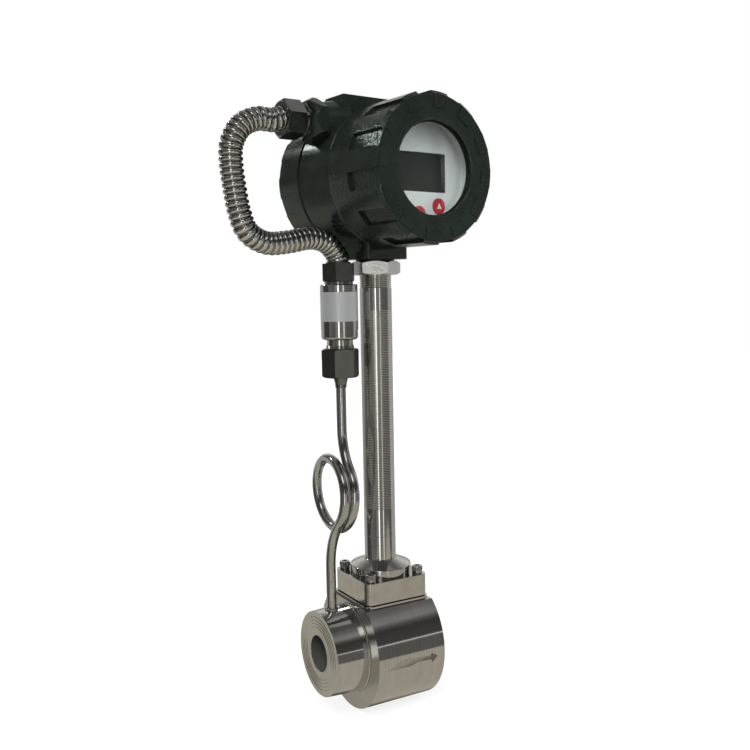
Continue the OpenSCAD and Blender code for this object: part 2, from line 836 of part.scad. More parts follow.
module entry_boss(side) {
    neck_s = entry_face - boss_hex_len;
    translate([0, entry_h, -entry_back]) rotate([0, side * 90, 0]) rotate([0, 0, 30]) {
        intersection() {
            translate([0, 0, neck_s]) hex_body(boss_af, boss_hex_len, true, false);
            translate([0, 0, neck_s])
                cylinder(r1 = boss_end_r + boss_hex_len * tan(boss_taper), r2 = boss_end_r, h = boss_hex_len);
        }
        translate([0, 0, ridge_half - 6])
            cylinder(r1 = boss_af / 2 + boss_flare, r2 = boss_af / 2 - 1, h = neck_s - ridge_half + 6 + 1);
    }
}

module entry_hole(side) {
    start = cavity_r / 2;
    translate([0, entry_h, -entry_back]) rotate([0, side * 90, 0]) {
        translate([0, 0, entry_face - entry_thread_len]) cylinder(r = entry_r, h = entry_thread_len + 1);
        translate([0, 0, start]) cylinder(r = entry_r - entry_lip, h = entry_face - start);
    }
}

module head_barrel() {
    edge = 1;
    rotate_extrude() polygon([
        [0, -collar_rear], [collar_r - edge, -collar_rear], [collar_r, -collar_rear + edge],
        [collar_r, -rear_seam], [barrel_r + barrel_draft - edge, -rear_seam],
        [barrel_r + barrel_draft, -rear_seam + edge],
        [barrel_r - barrel_draft, front_seam - edge], [barrel_r - barrel_draft - edge, front_seam],
        [collar_r, front_seam], [collar_r, collar_front - edge], [collar_r - edge, collar_front],
        [0, collar_front]
    ]);
}

module neck_block() {
    up = 22;
    translate([0, -block_drop, 0]) rotate([-90, 0, 0]) rounded_block(block_w, block_d, up, 4);
}

module ridge() {
    root = 21;
    foot_y = barrel_r - root;
    edge = 2;
    translate([-ridge_half, foot_y, -entry_back - ridge_w / 2])
        cube([2 * ridge_half, ridge_top - edge - foot_y, ridge_w]);
    translate([-ridge_half + edge, foot_y, -entry_back - ridge_w / 2 + edge])
        cube([2 * (ridge_half - edge), ridge_top - foot_y, ridge_w - 2 * edge]);
}

module housing_body() {
    lead_hole_r = 8;
    color("darkslategray") in_head() difference() {
        union() {
            head_barrel();
            neck_block();
            ridge();
            entry_boss(-1);
            entry_boss(1);
        }
        translate([0, 0, -collar_rear - 1]) cylinder(r = cavity_r, h = collar_rear + partition_rear + 1);
        translate([0, 0, partition_front]) cylinder(r = cavity_r, h = collar_front);
        entry_hole(-1);
        entry_hole(1);
        translate([0, -block_drop - 1, 0]) rotate([-90, 0, 0])
            cylinder(r = tube_r + slip, h = tube_bite + 1.5);
        translate([0, -block_drop, 0]) rotate([-90, 0, 0]) cylinder(r = lead_hole_r, h = block_drop);
        for (i = [1:3]) at_pillar(i, partition_front - 2.5) cylinder(r = pillar_stud_r + slip, h = 4);
        at_ground_screw(partition_rear - 1) cylinder(r = ground_screw_r, h = 3);
    }
}

// Covers

// Places a child at lug space k, its local Y pointing outwards
module at_space(k) {
    rotate([0, 0, -20 - 360 * k / lugs]) children();
}

module cover_pocket(r, depth, z, len) {
    w = 2 * r * sin(7);
    translate([-w / 2, r - depth, z]) cube([w, depth + 5, len]);
}

// Square groove for a seal in the cover's end face at Z 0, cut downwards
module seal_groove() {
    rotate_extrude() translate([groove_r - groove_half, -groove_depth])
        square([2 * groove_half, groove_depth + 1]);
}

module front_cover() {
    foot = front_seam + seam_gap;
    face = rim_front - face_drop;
    seat = glass_front + gasket_thick;
    color("darkgreen") in_head() difference() {
        union() {
            rotate_extrude() polygon([
                [collar_r + thread_gap, foot], [lug_r - 0.6, foot], [lug_r, foot + 2],
                [lug_r, face - rim_bevel], [lug_r - rim_bevel, face],
                [window_r + 8, face], [window_r + 1, face - 0.6], [window_r, face - 1.4],
                [window_r, seat], [seat_r, seat], [seat_r, glass_back - ring_t],
                [shell_r, glass_back - ring_t - 3], [shell_r, collar_front + 2],
                [collar_r + thread_gap, collar_front + 1]
            ]);
            for (k = [0:lugs - 1]) at_space(k + 0.5) lug_pad(face);
        }
        for (k = [0:lugs - 1]) at_space(k)
            cover_pocket(lug_r, pocket_depth, rim_front - pocket_len, pocket_len + 1);
        translate([0, 0, foot]) mirror([0, 0, 1]) seal_groove();
    }
}

// Low pad on the front face at each lug
module lug_pad(face) {
    pad_in = window_r + 9;
    pad_out = lug_r - rim_bevel - 0.6;
    pad_w = 13.4;
    translate([-pad_w / 2, pad_in, face - 1]) cube([pad_w, pad_out - pad_in, face_drop + 1]);
}

module rear_cover() {
    foot = -rear_seam - seam_gap;
    rim = -rear_seam - rear_groove;
    rim_r = groove_r + groove_half + 0.7;
    base_r = rear_lug_r - 0.2;
    bevel = 3;
    floor_z = -rear_back + 5;
    color("darkgreen") in_head() difference() {
        rotate_extrude() polygon([
            [0, -rear_back], [base_r - bevel, -rear_back], [rear_lug_r, -rear_back + bevel],
            [base_r, rim - 1], [base_r - 1, rim], [rim_r, rim], [rim_r, foot],
            [collar_r + thread_gap, foot], [collar_r + thread_gap, -collar_rear - 1], [shell_r, -collar_rear - 2],
            [shell_r, floor_z + 3], [shell_r - 3, floor_z], [0, floor_z]
        ]);
        for (k = [0:lugs - 1]) mirror([1, 0, 0]) at_space(k)
            cover_pocket(rear_lug_r, rear_pocket_depth, -rear_back - 1, rear_pocket_len + 1);
        translate([0, 0, foot]) seal_groove();
    }
}

module oring(z) {
    color("black") in_head() rotate_extrude() translate([groove_r, z]) circle(r = oring_r);
}

module front_oring() {
    oring(front_seam + seam_gap + groove_depth - groove_half);
}

module rear_oring() {
    oring(-rear_seam - seam_gap - groove_depth + groove_half);
}

// Window

module window_glass() {
    color("lightcyan", 0.4) in_head() translate([0, 0, glass_back]) cylinder(r = glass_r, h = glass_t);
}

module window_gasket() {
    color("black") in_head() translate([0, 0, glass_front]) difference() {
        cylinder(r = glass_r, h = gasket_thick);
        translate([0, 0, -1]) cylinder(r = window_r - window_lip, h = gasket_thick + 2);
    }
}

module window_ring() {
    notch_w = 4;
    color("silver") in_head() translate([0, 0, glass_back - ring_t]) difference() {
        cylinder(r = seat_r - slip, h = ring_t);
        translate([0, 0, -1]) cylinder(r = ring_bore_r, h = ring_t + 2);
        for (a = [0, 90]) rotate([0, 0, a]) translate([-notch_w / 2, -glass_r, -1])
            cube([notch_w, 2 * glass_r, 2.2]);
    }
}

// Display

// Places a child on the key circle, key 1 at the lower right seen from the window
module at_key(i, z) {
    a = 180 + (i - 2) * key_step;
    translate([key_circle * sin(a), key_circle * cos(a), z]) children();
}

module at_pillar(i, z) {
    a = 60 + 120 * (i - 1);
    translate([pillar_circle * sin(a), pillar_circle * cos(a), z]) children();
}

module lcd_opening(margin, z, h) {
    translate([-lcd_w / 2 - margin, -lcd_h / 2 + lcd_shift - margin, z])
        cube([lcd_w + 2 * margin, lcd_h + 2 * margin, h]);
}

module display_frame() {
    wall_r = plate_r + 0.2;
    color("white") in_head() difference() {
        union() {
            difference() {
                translate([0, 0, frame_floor_z])
                    cylinder(r = wall_r + frame_wall_t, h = frame_rim_z - frame_floor_z);
                translate([0, 0, frame_floor_z + frame_floor_t]) cylinder(r = wall_r, h = frame_rim_z);
            }
            for (a = [0, 90, 270]) rotate([0, 0, a]) translate([0, post_circle, display_board_front])
                cylinder(r = post_r, h = frame_floor_z - display_board_front + frame_floor_t / 2);
        }
        lcd_opening(0.5, frame_floor_z - 1, frame_floor_t + 2);
        for (i = [1:3]) at_key(i, frame_floor_z - 1) cylinder(d = key_d + 2 * loose, h = frame_floor_t + 2);
    }
}

module face_plate() {
    color("whitesmoke") in_head() translate([0, 0, plate_front - plate_t]) difference() {
        cylinder(r = plate_r, h = plate_t);
        lcd_opening(0, -1, plate_t + 2);
        for (i = [1:3]) at_key(i, -1) cylinder(d = key_d + 2 * loose, h = plate_t + 2);
    }
}

module lcd_module() {
    tray_h = frame_floor_z - 0.2 - display_board_front;
    color("darkslategray") in_head() {
        lcd_opening(lcd_rim, display_board_front, tray_h);
        lcd_opening(-0.3, display_board_front, plate_front - 0.6 - display_board_front);
    }
}

module key(i) {
    dome = 0.4;
    shoulder_z = frame_floor_z - loose - key_shoulder_t;
    stem_z = display_board_front + switch_h + key_travel + 0.1;
    color("crimson") in_head() {
        at_key(i, shoulder_z) cylinder(d = key_d, h = plate_front + key_proud - dome - shoulder_z);
        at_key(i, plate_front + key_proud - dome) cylinder(d1 = key_d, d2 = key_d - 1.2, h = dome);
        at_key(i, shoulder_z) cylinder(d = key_d + 2 * key_shoulder, h = key_shoulder_t);
        at_key(i, stem_z) cylinder(d = key_stem_d, h = shoulder_z - stem_z + 0.5);
    }
}

module key_switch(i) {
    color("dimgray") in_head() {
        at_key(i, display_board_front) chip(0, 0, switch_w, switch_w, switch_base_h);
        at_key(i, display_board_front + switch_base_h / 2)
            cylinder(d = key_stem_d, h = switch_h - switch_base_h / 2);
    }
}

module display_board() {
    color("green") in_head() difference() {
        translate([0, 0, display_board_z]) cylinder(r = board_r - 1, h = board_t);
        for (i = [1:3]) at_pillar(i, display_board_z - 1)
            cylinder(r = pillar_stud_r + slip, h = board_t + 2);
    }
}

// A block on a board: centre, width, height and depth
module chip(x, y, w, h, deep) {
    translate([x - w / 2, y - h / 2, 0]) cube([w, h, deep]);
}

module amplifier_board() {
    color("green") in_head() difference() {
        translate([0, 0, amp_board_z]) {
            cylinder(r = board_r, h = board_t);
            chip(0, -2, supply_w, supply_w * 0.7, board_t + supply_h);
            chip(-board_r / 2, board_r * 0.44, chip_w, chip_w * 0.75, board_t + chip_h);
            chip(board_r / 3, board_r / 2, chip_w, chip_w, board_t + chip_h);
            for (side = [-1, 1]) translate([side * board_r / 2.2, -board_r * 0.55, 0])
                cylinder(r = can_r, h = board_t + can_h);
        }
        for (i = [1:3]) at_pillar(i, amp_board_z - 1)
            cylinder(r = pillar_stud_r + slip, h = board_t + 2);
    }
}

module board_foot(i) {
    foot_h = amp_board_z - partition_front;
    color("gold") in_head() difference() {
        union() {
            at_pillar(i, partition_front) cylinder(r = pillar_af / cos(30) / 2, h = foot_h, $fn = 6);
            at_pillar(i, partition_front - 2.4) cylinder(r = pillar_stud_r, h = 3);
        }
        at_pillar(i, amp_board_z - 4.5) cylinder(r = pillar_stud_r + slip, h = 5);
    }
}

module board_pillar(i) {
    base = amp_board_z + board_t;
    color("gold") in_head() difference() {
        union() {
            at_pillar(i, base) cylinder(r = pillar_af / cos(30) / 2, h = display_board_z - base, $fn = 6);
            at_pillar(i, base - board_t - 4) cylinder(r = pillar_stud_r, h = board_t + 5);
        }
        at_pillar(i, display_board_z - 6) cylinder(r = pillar_stud_r + slip, h = 7);
    }
}

module board_screws() {
    color("silver") in_head() for (i = [1:3]) {
        at_pillar(i, display_board_front)
            cylinder(r1 = screw_head_r, r2 = 0.8 * screw_head_r, h = 0.7 * screw_head_r);
        at_pillar(i, display_board_z - 5.5) cylinder(r = pillar_stud_r, h = board_t + 6);
    }
}

// Terminals

// Places a child on the ground screw's axis, on the rear compartment's floor
module at_ground_screw(z) {
    translate([0.58 * cavity_r, -0.62 * cavity_r, z]) children();
}

// Places a child on terminal k's axis, on the block's face
module at_terminal(k) {
    translate([
        (k - (terminal_ways - 1) / 2) * terminal_pitch,
        terminal_low + terminal_tall / 2,
        partition_rear - terminal_deep
    ]) children();
}

module terminal_block() {
    color("seagreen") in_head() difference() {
        translate([-terminal_w / 2, terminal_low, partition_rear - terminal_deep])
            cube([terminal_w, terminal_tall, terminal_deep]);
        for (k = [0:terminal_ways - 1]) at_terminal(k) {
            translate([-terminal_pitch / 2 + terminal_rib / 2, -terminal_tall, -terminal_well])
                cube([terminal_pitch - terminal_rib, 2 * terminal_tall, 2 * terminal_well]);
            cylinder(r = terminal_screw_r + slip, h = terminal_well + terminal_bite);
        }
    }
}

module terminal_screws() {
    slot_w = 0.8;
    slot_h = 1;
    head_h = 2;
    color("silver") in_head() for (k = [0:terminal_ways - 1]) at_terminal(k) difference() {
        union() {
            translate([0, 0, terminal_well - head_h]) cylinder(r = 1.8 * terminal_screw_r, h = head_h);
            translate([0, 0, terminal_well - head_h / 2]) cylinder(r = terminal_screw_r, h = terminal_bite);
        }
        translate([-3 * terminal_screw_r, -slot_w / 2, terminal_well - head_h - slot_h])
            cube([6 * terminal_screw_r, slot_w, 2 * slot_h]);
    }
}

module ground_screw() {
    head_h = 2.6;
    slot_w = 1;
    color("gold") in_head() difference() {
        union() {
            at_ground_screw(partition_rear - head_h) cylinder(r = 2 * ground_screw_r, h = head_h);
            at_ground_screw(partition_rear - 1) cylinder(r = ground_screw_r - slip, h = 2.8);
        }
        at_ground_screw(partition_rear - head_h - 1) translate([-3 * ground_screw_r, -slot_w / 2, 0])
            cube([6 * ground_screw_r, slot_w, 2]);
    }
}

meter_body();
inlet_hub();
bluff_body();
vortex_probe();
probe_seal();
flange_gasket();
neck_flange();
flange_screw(1);  // flange_screw_1
flange_screw(2);  // flange_screw_2
flange_screw(3);  // flange_screw_3
flange_screw(4);  // flange_screw_4
spring_washer(1);  // spring_washer_1
spring_washer(2);  // spring_washer_2
spring_washer(3);  // spring_washer_3
spring_washer(4);  // spring_washer_4
neck_foot();
neck_tube();
neck_locknut();
neck_washer();
probe_lead();
siphon_tube();
union_ferrule();
union_nut();
pressure_sensor();
sensor_nut();
hose_ferrule();
conduit_hose();
gland_nut();
gland_body();
housing_body();
front_cover();
rear_cover();
front_oring();
rear_oring();
window_glass();
window_gasket();
window_ring();
display_frame();
face_plate();
lcd_module();
key(1);  // key_1
key(2);  // key_2
key(3);  // key_3
key_switch(1);  // key_switch_1
key_switch(2);  // key_switch_2
key_switch(3);  // key_switch_3
display_board();
amplifier_board();
board_pillar(1);  // board_pillar_1
board_pillar(2);  // board_pillar_2
board_pillar(3);  // board_pillar_3
board_foot(1);  // board_foot_1
board_foot(2);  // board_foot_2
board_foot(3);  // board_foot_3
board_screws();
terminal_block();
terminal_screws();
ground_screw();
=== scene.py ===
import json
import math

import bmesh
import bpy
from mathutils import Matrix, Vector, noise


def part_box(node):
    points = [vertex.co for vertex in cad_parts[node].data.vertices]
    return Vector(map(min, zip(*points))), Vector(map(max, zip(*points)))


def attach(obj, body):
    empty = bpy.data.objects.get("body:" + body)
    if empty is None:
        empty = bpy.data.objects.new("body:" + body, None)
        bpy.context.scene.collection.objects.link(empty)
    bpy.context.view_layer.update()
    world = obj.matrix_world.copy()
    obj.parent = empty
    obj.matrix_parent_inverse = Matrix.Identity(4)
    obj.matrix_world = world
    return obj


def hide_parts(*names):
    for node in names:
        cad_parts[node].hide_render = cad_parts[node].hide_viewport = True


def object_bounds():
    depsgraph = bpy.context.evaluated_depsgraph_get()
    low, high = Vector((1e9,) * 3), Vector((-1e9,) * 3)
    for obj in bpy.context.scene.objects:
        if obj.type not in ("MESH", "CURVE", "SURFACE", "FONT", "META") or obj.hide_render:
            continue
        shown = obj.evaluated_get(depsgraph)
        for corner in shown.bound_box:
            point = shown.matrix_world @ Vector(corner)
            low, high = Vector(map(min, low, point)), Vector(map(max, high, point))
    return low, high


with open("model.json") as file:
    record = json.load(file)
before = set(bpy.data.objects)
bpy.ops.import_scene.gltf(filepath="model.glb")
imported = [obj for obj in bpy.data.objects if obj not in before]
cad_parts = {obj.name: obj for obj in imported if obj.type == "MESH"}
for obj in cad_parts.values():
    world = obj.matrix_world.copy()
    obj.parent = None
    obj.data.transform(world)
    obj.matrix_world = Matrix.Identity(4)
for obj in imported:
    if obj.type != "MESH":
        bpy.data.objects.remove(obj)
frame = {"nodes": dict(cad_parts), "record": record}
cad_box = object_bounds()
nodes = frame["nodes"]

# Units and the main places, in millimetres and degrees
MM = 0.001
FULL_TURN = 2 * math.pi
NECK_X = 60.6
SENSOR_X = 26.2
HEAD_TURN = 5.9
HEAD_Z = (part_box("front_oring")[0][2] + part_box("front_oring")[1][2]) / 2 / MM
HEAD = (Matrix.Translation((NECK_X * MM, 0, HEAD_Z * MM))
        @ Matrix.Rotation(math.radians(HEAD_TURN), 4, "Z") @ Matrix.Rotation(math.pi / 2, 4, "X"))
ALONG_FLOW = Matrix.Rotation(math.pi / 2, 4, "Y")
ON_NECK = Matrix.Translation((NECK_X * MM, 0, 0))
ON_SENSOR = Matrix.Translation((SENSOR_X * MM, 0, 0))


def head_point(s, h, d):
    """A point of the head: s to its right, h up and d to its front, in millimetres."""
    return HEAD @ Vector((s * MM, h * MM, d * MM))


# Shader nodes
def blank_tree(owner):
    """The emptied node tree of a material or a world."""
    owner.use_nodes = True
    owner.node_tree.nodes.clear()
    return owner.node_tree


def add(tree, kind, **values):
    """A new node; each value goes to the input of that name, or else to the node's setting."""
    node = tree.nodes.new("ShaderNode" + kind)
    for key, value in values.items():
        if key in node.inputs:
            node.inputs[key].default_value = value
        else:
            setattr(node, key, value)
    return node


def link(tree, a, b):
    tree.links.new(a, b)


def new_material(name):
    mat = bpy.data.materials.new(name)
    tree = blank_tree(mat)
    out = add(tree, "OutputMaterial")
    shader = add(tree, "BsdfPrincipled")
    link(tree, shader.outputs[0], out.inputs[0])
    return mat, tree, shader


def coords(tree, place=None, scale=(1, 1, 1)):
    """Object coordinates in millimetres, in the frame that place gives, times scale."""
    tex = add(tree, "TexCoord")
    out = tex.outputs["Object"]
    if place is not None:
        inverse = place.inverted()
        back = add(tree, "Mapping")
        back.inputs["Location"].default_value = inverse.to_translation()
        back.inputs["Rotation"].default_value = inverse.to_euler()
        link(tree, out, back.inputs["Vector"])
        out = back.outputs[0]
    size = add(tree, "VectorMath", operation="MULTIPLY")
    size.inputs[1].default_value = [s / MM for s in scale]
    link(tree, out, size.inputs[0])
    return size.outputs[0]


def split_xyz(tree, vec):
    node = add(tree, "SeparateXYZ")
    link(tree, vec, node.inputs[0])
    return node.outputs


def math_node(tree, op, a, b=None):
    """A Math node on sockets or numbers."""
    node = add(tree, "Math", operation=op)
    for i, v in enumerate((a, b)):
        if v is None:
            continue
        if isinstance(v, (int, float)):
            node.inputs[i].default_value = v
        else:
            link(tree, v, node.inputs[i])
    return node.outputs[0]


def ramp(tree, fac, stops):
    """Colours between stops, which are pairs of a place from 0 to 1 and a colour."""
    node = add(tree, "ValToRGB")
    elements = node.color_ramp.elements
    while len(elements) < len(stops):
        elements.new(0.5)
    for element, (place, color) in zip(elements, stops):
        element.position = place
        element.color = (*color, 1)
    link(tree, fac, node.inputs[0])
    return node.outputs[0]


def noise_node(tree, vec, scale, detail=2.0, rough=0.5):
    node = add(tree, "TexNoise", Scale=scale, Detail=detail, Roughness=rough)
    link(tree, vec, node.inputs["Vector"])
    return node.outputs[0]


def bump(tree, height, strength, distance, normal=None):
    """The normal of a height; distance is in metres."""
    node = add(tree, "Bump", Strength=strength, Distance=distance)
    link(tree, height, node.inputs["Height"])
    if normal is not None:
        link(tree, normal, node.inputs["Normal"])
    return node.outputs[0]


def scaled(color, factor):
    return [min(1, c * factor) for c in color]


def shade(tree, shader, fac, low, high):
    """Base colour that goes from low to high as the noise fac does."""
    link(tree, ramp(tree, fac, [(0.3, low), (0.7, high)]), shader.inputs["Base Color"])


def roughen(tree, shader, fac, rough, spread):
    """Roughness that goes from rough - spread to rough + spread as the noise fac goes from 0 to 1."""
    vary = math_node(tree, "MULTIPLY", fac, spread * 2)
    link(tree, math_node(tree, "ADD", vary, rough - spread), shader.inputs["Roughness"])


# Materials
def turned(name, color, rough, place, line, strength, spread):
    """Turned metal: fine lines that run round place's Z axis, under faint darker clouds."""
    mat, tree, shader = new_material(name)
    vec = coords(tree, place)
    x, y, z = split_xyz(tree, vec)
    square = math_node(tree, "ADD", math_node(tree, "MULTIPLY", x, x), math_node(tree, "MULTIPLY", y, y))
    angle = math_node(tree, "ARCTAN2", y, x)
    ring = add(tree, "CombineXYZ")
    link(tree, z, ring.inputs[0])
    link(tree, math_node(tree, "SQRT", square), ring.inputs[1])
    link(tree, math_node(tree, "MULTIPLY", angle, 0.5), ring.inputs[2])
    lines = noise_node(tree, ring.outputs[0], scale=2.2 * line, detail=3.0, rough=0.7)
    wide = noise_node(tree, ring.outputs[0], scale=0.35 * line)
    cloud = noise_node(tree, vec, scale=0.05, detail=3.0, rough=0.6)
    tone = ramp(tree, lines, [(0.3, scaled(color, 0.86)), (0.7, scaled(color, 1.08))])
    mix = add(tree, "Mix", data_type="RGBA", blend_type="MULTIPLY")
    mix.inputs["Factor"].default_value = 0.5
    link(tree, tone, mix.inputs["A"])
    link(tree, ramp(tree, cloud, [(0.35, (0.88, 0.87, 0.85)), (0.65, (1, 1, 1))]), mix.inputs["B"])
    link(tree, mix.outputs["Result"], shader.inputs["Base Color"])
    both = math_node(tree, "ADD", math_node(tree, "MULTIPLY", lines, spread * 2),
                     math_node(tree, "MULTIPLY", wide, spread * 2))
    link(tree, math_node(tree, "ADD", both, rough - 2 * spread), shader.inputs["Roughness"])
    link(tree, bump(tree, lines, strength, distance=0.00006), shader.inputs["Normal"])
    shader.inputs["Metallic"].default_value = 1.0
    return mat


def plain_metal(name, color, rough, grain=2.0, strength=0.15, spread=0.05, depth=0.00005):
    """Metal with an even grain; a larger grain value is a finer grain."""
    mat, tree, shader = new_material(name)
    vec = coords(tree)
    fine = noise_node(tree, vec, scale=grain, detail=4.0, rough=0.6)
    wide = noise_node(tree, vec, scale=0.12)
    shade(tree, shader, wide, scaled(color, 0.85), color)
    roughen(tree, shader, fine, rough, spread)
    link(tree, bump(tree, fine, strength, depth), shader.inputs["Normal"])
    shader.inputs["Metallic"].default_value = 1.0
    return mat


def paint(name, color, rough, peel_strength, fine_depth):
    """Glossy paint on a casting: an orange peel, and a finer unevenness over it."""
    mat, tree, shader = new_material(name)
    vec = coords(tree)
    peel = noise_node(tree, vec, scale=0.32)
    fine = noise_node(tree, vec, scale=0.5, detail=1.0)
    wide = noise_node(tree, vec, scale=0.06)
    shade(tree, shader, wide, scaled(color, 0.8), scaled(color, 1.15))
    roughen(tree, shader, wide, rough, spread=0.05)
    first = bump(tree, peel, peel_strength, distance=0.0006)
    link(tree, bump(tree, fine, 0.8, fine_depth, first), shader.inputs["Normal"])
    shader.inputs["Specular Tint"].default_value = (0.75, 1.0, 0.88, 1)
    return mat


def plastic(name, color, rough, grain=3.0, strength=0.1, shine=0.5):
    """Moulded plastic or rubber; shine is its specular level."""
    mat, tree, shader = new_material(name)
    vec = coords(tree)
    fine = noise_node(tree, vec, scale=grain)
    wide = noise_node(tree, vec, scale=0.1)
    shade(tree, shader, wide, scaled(color, 0.92), color)
    roughen(tree, shader, fine, rough, spread=0.06)
    link(tree, bump(tree, fine, strength, distance=0.00005), shader.inputs["Normal"])
    shader.inputs["Specular IOR Level"].default_value = shine
    return mat


def clear_glass(name, low, high):
    """Clear glass with a faint tint between low and high."""
    mat, tree, shader = new_material(name)
    wide = noise_node(tree, coords(tree), scale=0.08)
    shade(tree, shader, wide, low, high)
    link(tree, math_node(tree, "MULTIPLY", wide, 0.02), shader.inputs["Roughness"])
    shader.inputs["Transmission Weight"].default_value = 1.0
    shader.inputs["IOR"].default_value = 1.2
    return mat


def etched(name, dark, pale):
    """Etched steel with painted shading: pale at the tail's upper edge, dark at the lower edge and the
    head.
    """
    mat, tree, shader = new_material(name)
    vec = coords(tree)
    x, _, z = split_xyz(tree, vec)
    upper_z, per_fall = -5.5, -0.13
    tail_x, per_length = 36.0, 0.022
    # Painted shading: the colour darkens downwards from the upper edge and towards the head
    fall = math_node(tree, "MULTIPLY", math_node(tree, "ADD", z, -upper_z), per_fall)
    along = math_node(tree, "MULTIPLY", math_node(tree, "ADD", x, -tail_x), per_length)
    grain = noise_node(tree, vec, scale=0.5, detail=3.0, rough=0.6)
    # depth here is the level of the painted shading, not how deep the etch is
    depth = math_node(tree, "ADD", math_node(tree, "ADD", fall, along),
                      math_node(tree, "MULTIPLY", grain, 0.3))
    link(tree, ramp(tree, depth, [(0.05, pale), (0.75, dark)]), shader.inputs["Base Color"])
    link(tree, bump(tree, grain, 0.2, distance=0.0001), shader.inputs["Normal"])
    shader.inputs["Roughness"].default_value = 0.28
    shader.inputs["Metallic"].default_value = 1.0
    return mat


def foil(name, color, rough):
    """Brushed silver foil of a label."""
    mat, tree, shader = new_material(name)
    brush = noise_node(tree, coords(tree, scale=(1, 1, 12)), scale=0.5, detail=3.0, rough=0.6)
    shade(tree, shader, brush, scaled(color, 0.93), color)
    link(tree, bump(tree, brush, 0.05, distance=0.00003), shader.inputs["Normal"])
    shader.inputs["Roughness"].default_value = rough
    shader.inputs["Metallic"].default_value = 0.55
    return mat


STEEL = (0.585, 0.58, 0.565)
GREEN = (0.0150, 0.0205, 0.0160)
LOOKS = [
    # turned: colour, roughness, axis, how close the lines are, bump, spread of the roughness
    (turned, "tube_body", STEEL, 0.075, ALONG_FLOW, 1.0, 0.10, 0.02),
    (turned, "hub", (0.60, 0.595, 0.58), 0.075, ALONG_FLOW, 1.2, 0.12, 0.02),
    (turned, "faced", (0.60, 0.595, 0.57), 0.25, ALONG_FLOW, 1.2, 0.12, 0.02),
    (turned, "foot", STEEL, 0.08, ON_NECK, 1.0, 0.12, 0.02),
    (turned, "neck", STEEL, 0.07, ON_NECK, 1.0, 0.10, 0.02),
    (turned, "sensor", STEEL, 0.08, ON_SENSOR, 1.0, 0.12, 0.02),
    # plain_metal: colour, roughness, grain, bump, spread of the roughness, depth of the bump
    (plain_metal, "milled", (0.59, 0.58, 0.555), 0.11, 1.2, 0.05, 0.02),
    (plain_metal, "siphon", (0.56, 0.555, 0.54), 0.13, 0.8, 0.10, 0.03),
    (plain_metal, "zinc", (0.72, 0.72, 0.71), 0.28, 1.5, 0.5, 0.1, 0.0002),
    (plain_metal, "nut", (0.21, 0.215, 0.20), 0.33, 1.0, 0.08, 0.03),
    (plain_metal, "ferrule", (0.24, 0.24, 0.22), 0.22, 1.0, 0.2, 0.03),
    # gland: dark base colour that stands in for the dark room this metal mirrors, a painted reflection
    (plain_metal, "gland", (0.30, 0.315, 0.295), 0.13, 1.0, 0.08, 0.03),
    (plain_metal, "hose", (0.70, 0.695, 0.68), 0.10, 1.0, 0.10, 0.02),
    # A darker copy of the hose metal for the hose's grooves: painted shade
    (plain_metal, "hose_valley", (0.34, 0.335, 0.32), 0.12, 1.0, 0.10, 0.02),
    (plain_metal, "screw", (0.52, 0.515, 0.50), 0.14, 2.0, 0.4, 0.06, 0.0001),
    (plain_metal, "knurl", (0.30, 0.295, 0.285), 0.10, 2.0, 0.4, 0.06, 0.0001),
    (plain_metal, "ring", (0.65, 0.65, 0.65), 0.3),
    (plain_metal, "brass", (0.72, 0.50, 0.20), 0.28),
    (plain_metal, "bead", (0.86, 0.84, 0.79), 0.30, 1.5, 0.2, 0.05),
    (plain_metal, "weld", (0.60, 0.58, 0.55), 0.16, 0.9, 0.9, 0.1, 0.0006),
    # paint: colour, roughness, bump of the peel, depth of the finer bump
    (paint, "paint", GREEN, 0.15, 0.18, 0.00045),
    (paint, "even_paint", GREEN, 0.15, 0.07, 0.0001),
    # plastic: colour, roughness, grain, bump, shine
    (plastic, "seal", (0.012, 0.012, 0.012), 0.5, 2.0, 0.2),
    (plastic, "white", (0.74, 0.76, 0.75), 0.4),
    (plastic, "plate", (0.76, 0.775, 0.76), 0.35, 3.0, 0.1, 0.2),
    (plastic, "lcd", (0.0135, 0.018, 0.0145), 0.22, 1.0, 0.03, 0.06),
    (plastic, "tray", (0.02, 0.02, 0.02), 0.35),
    (plastic, "red", (0.60, 0.035, 0.05), 0.30, 2.0, 0.1, 0.2),
    (plastic, "mark", (0.85, 0.85, 0.85), 0.35),
    (plastic, "board", (0.02, 0.16, 0.06), 0.3),
    (plastic, "terminal", (0.06, 0.30, 0.14), 0.4),
    (plastic, "ptfe", (0.8, 0.8, 0.78), 0.45),
    # bore: a dark grey for the walls of the bore and of screw sockets, painted shade in those hollows
    (plastic, "bore", (0.085, 0.085, 0.078), 0.30, 0.8, 0.2),
    # The rest: colour and roughness, dark and pale, and two tints
    (foil, "label", (0.60, 0.615, 0.62), 0.42),
    # etched: the dark and pale ends of its painted shading
    (etched, "etch", (0.21, 0.20, 0.175), (0.50, 0.49, 0.46)),
    (clear_glass, "glass", (0.93, 0.97, 0.96), (0.97, 1.0, 0.99)),
]
MAT = {name: kind(name, *values) for kind, name, *values in LOOKS}

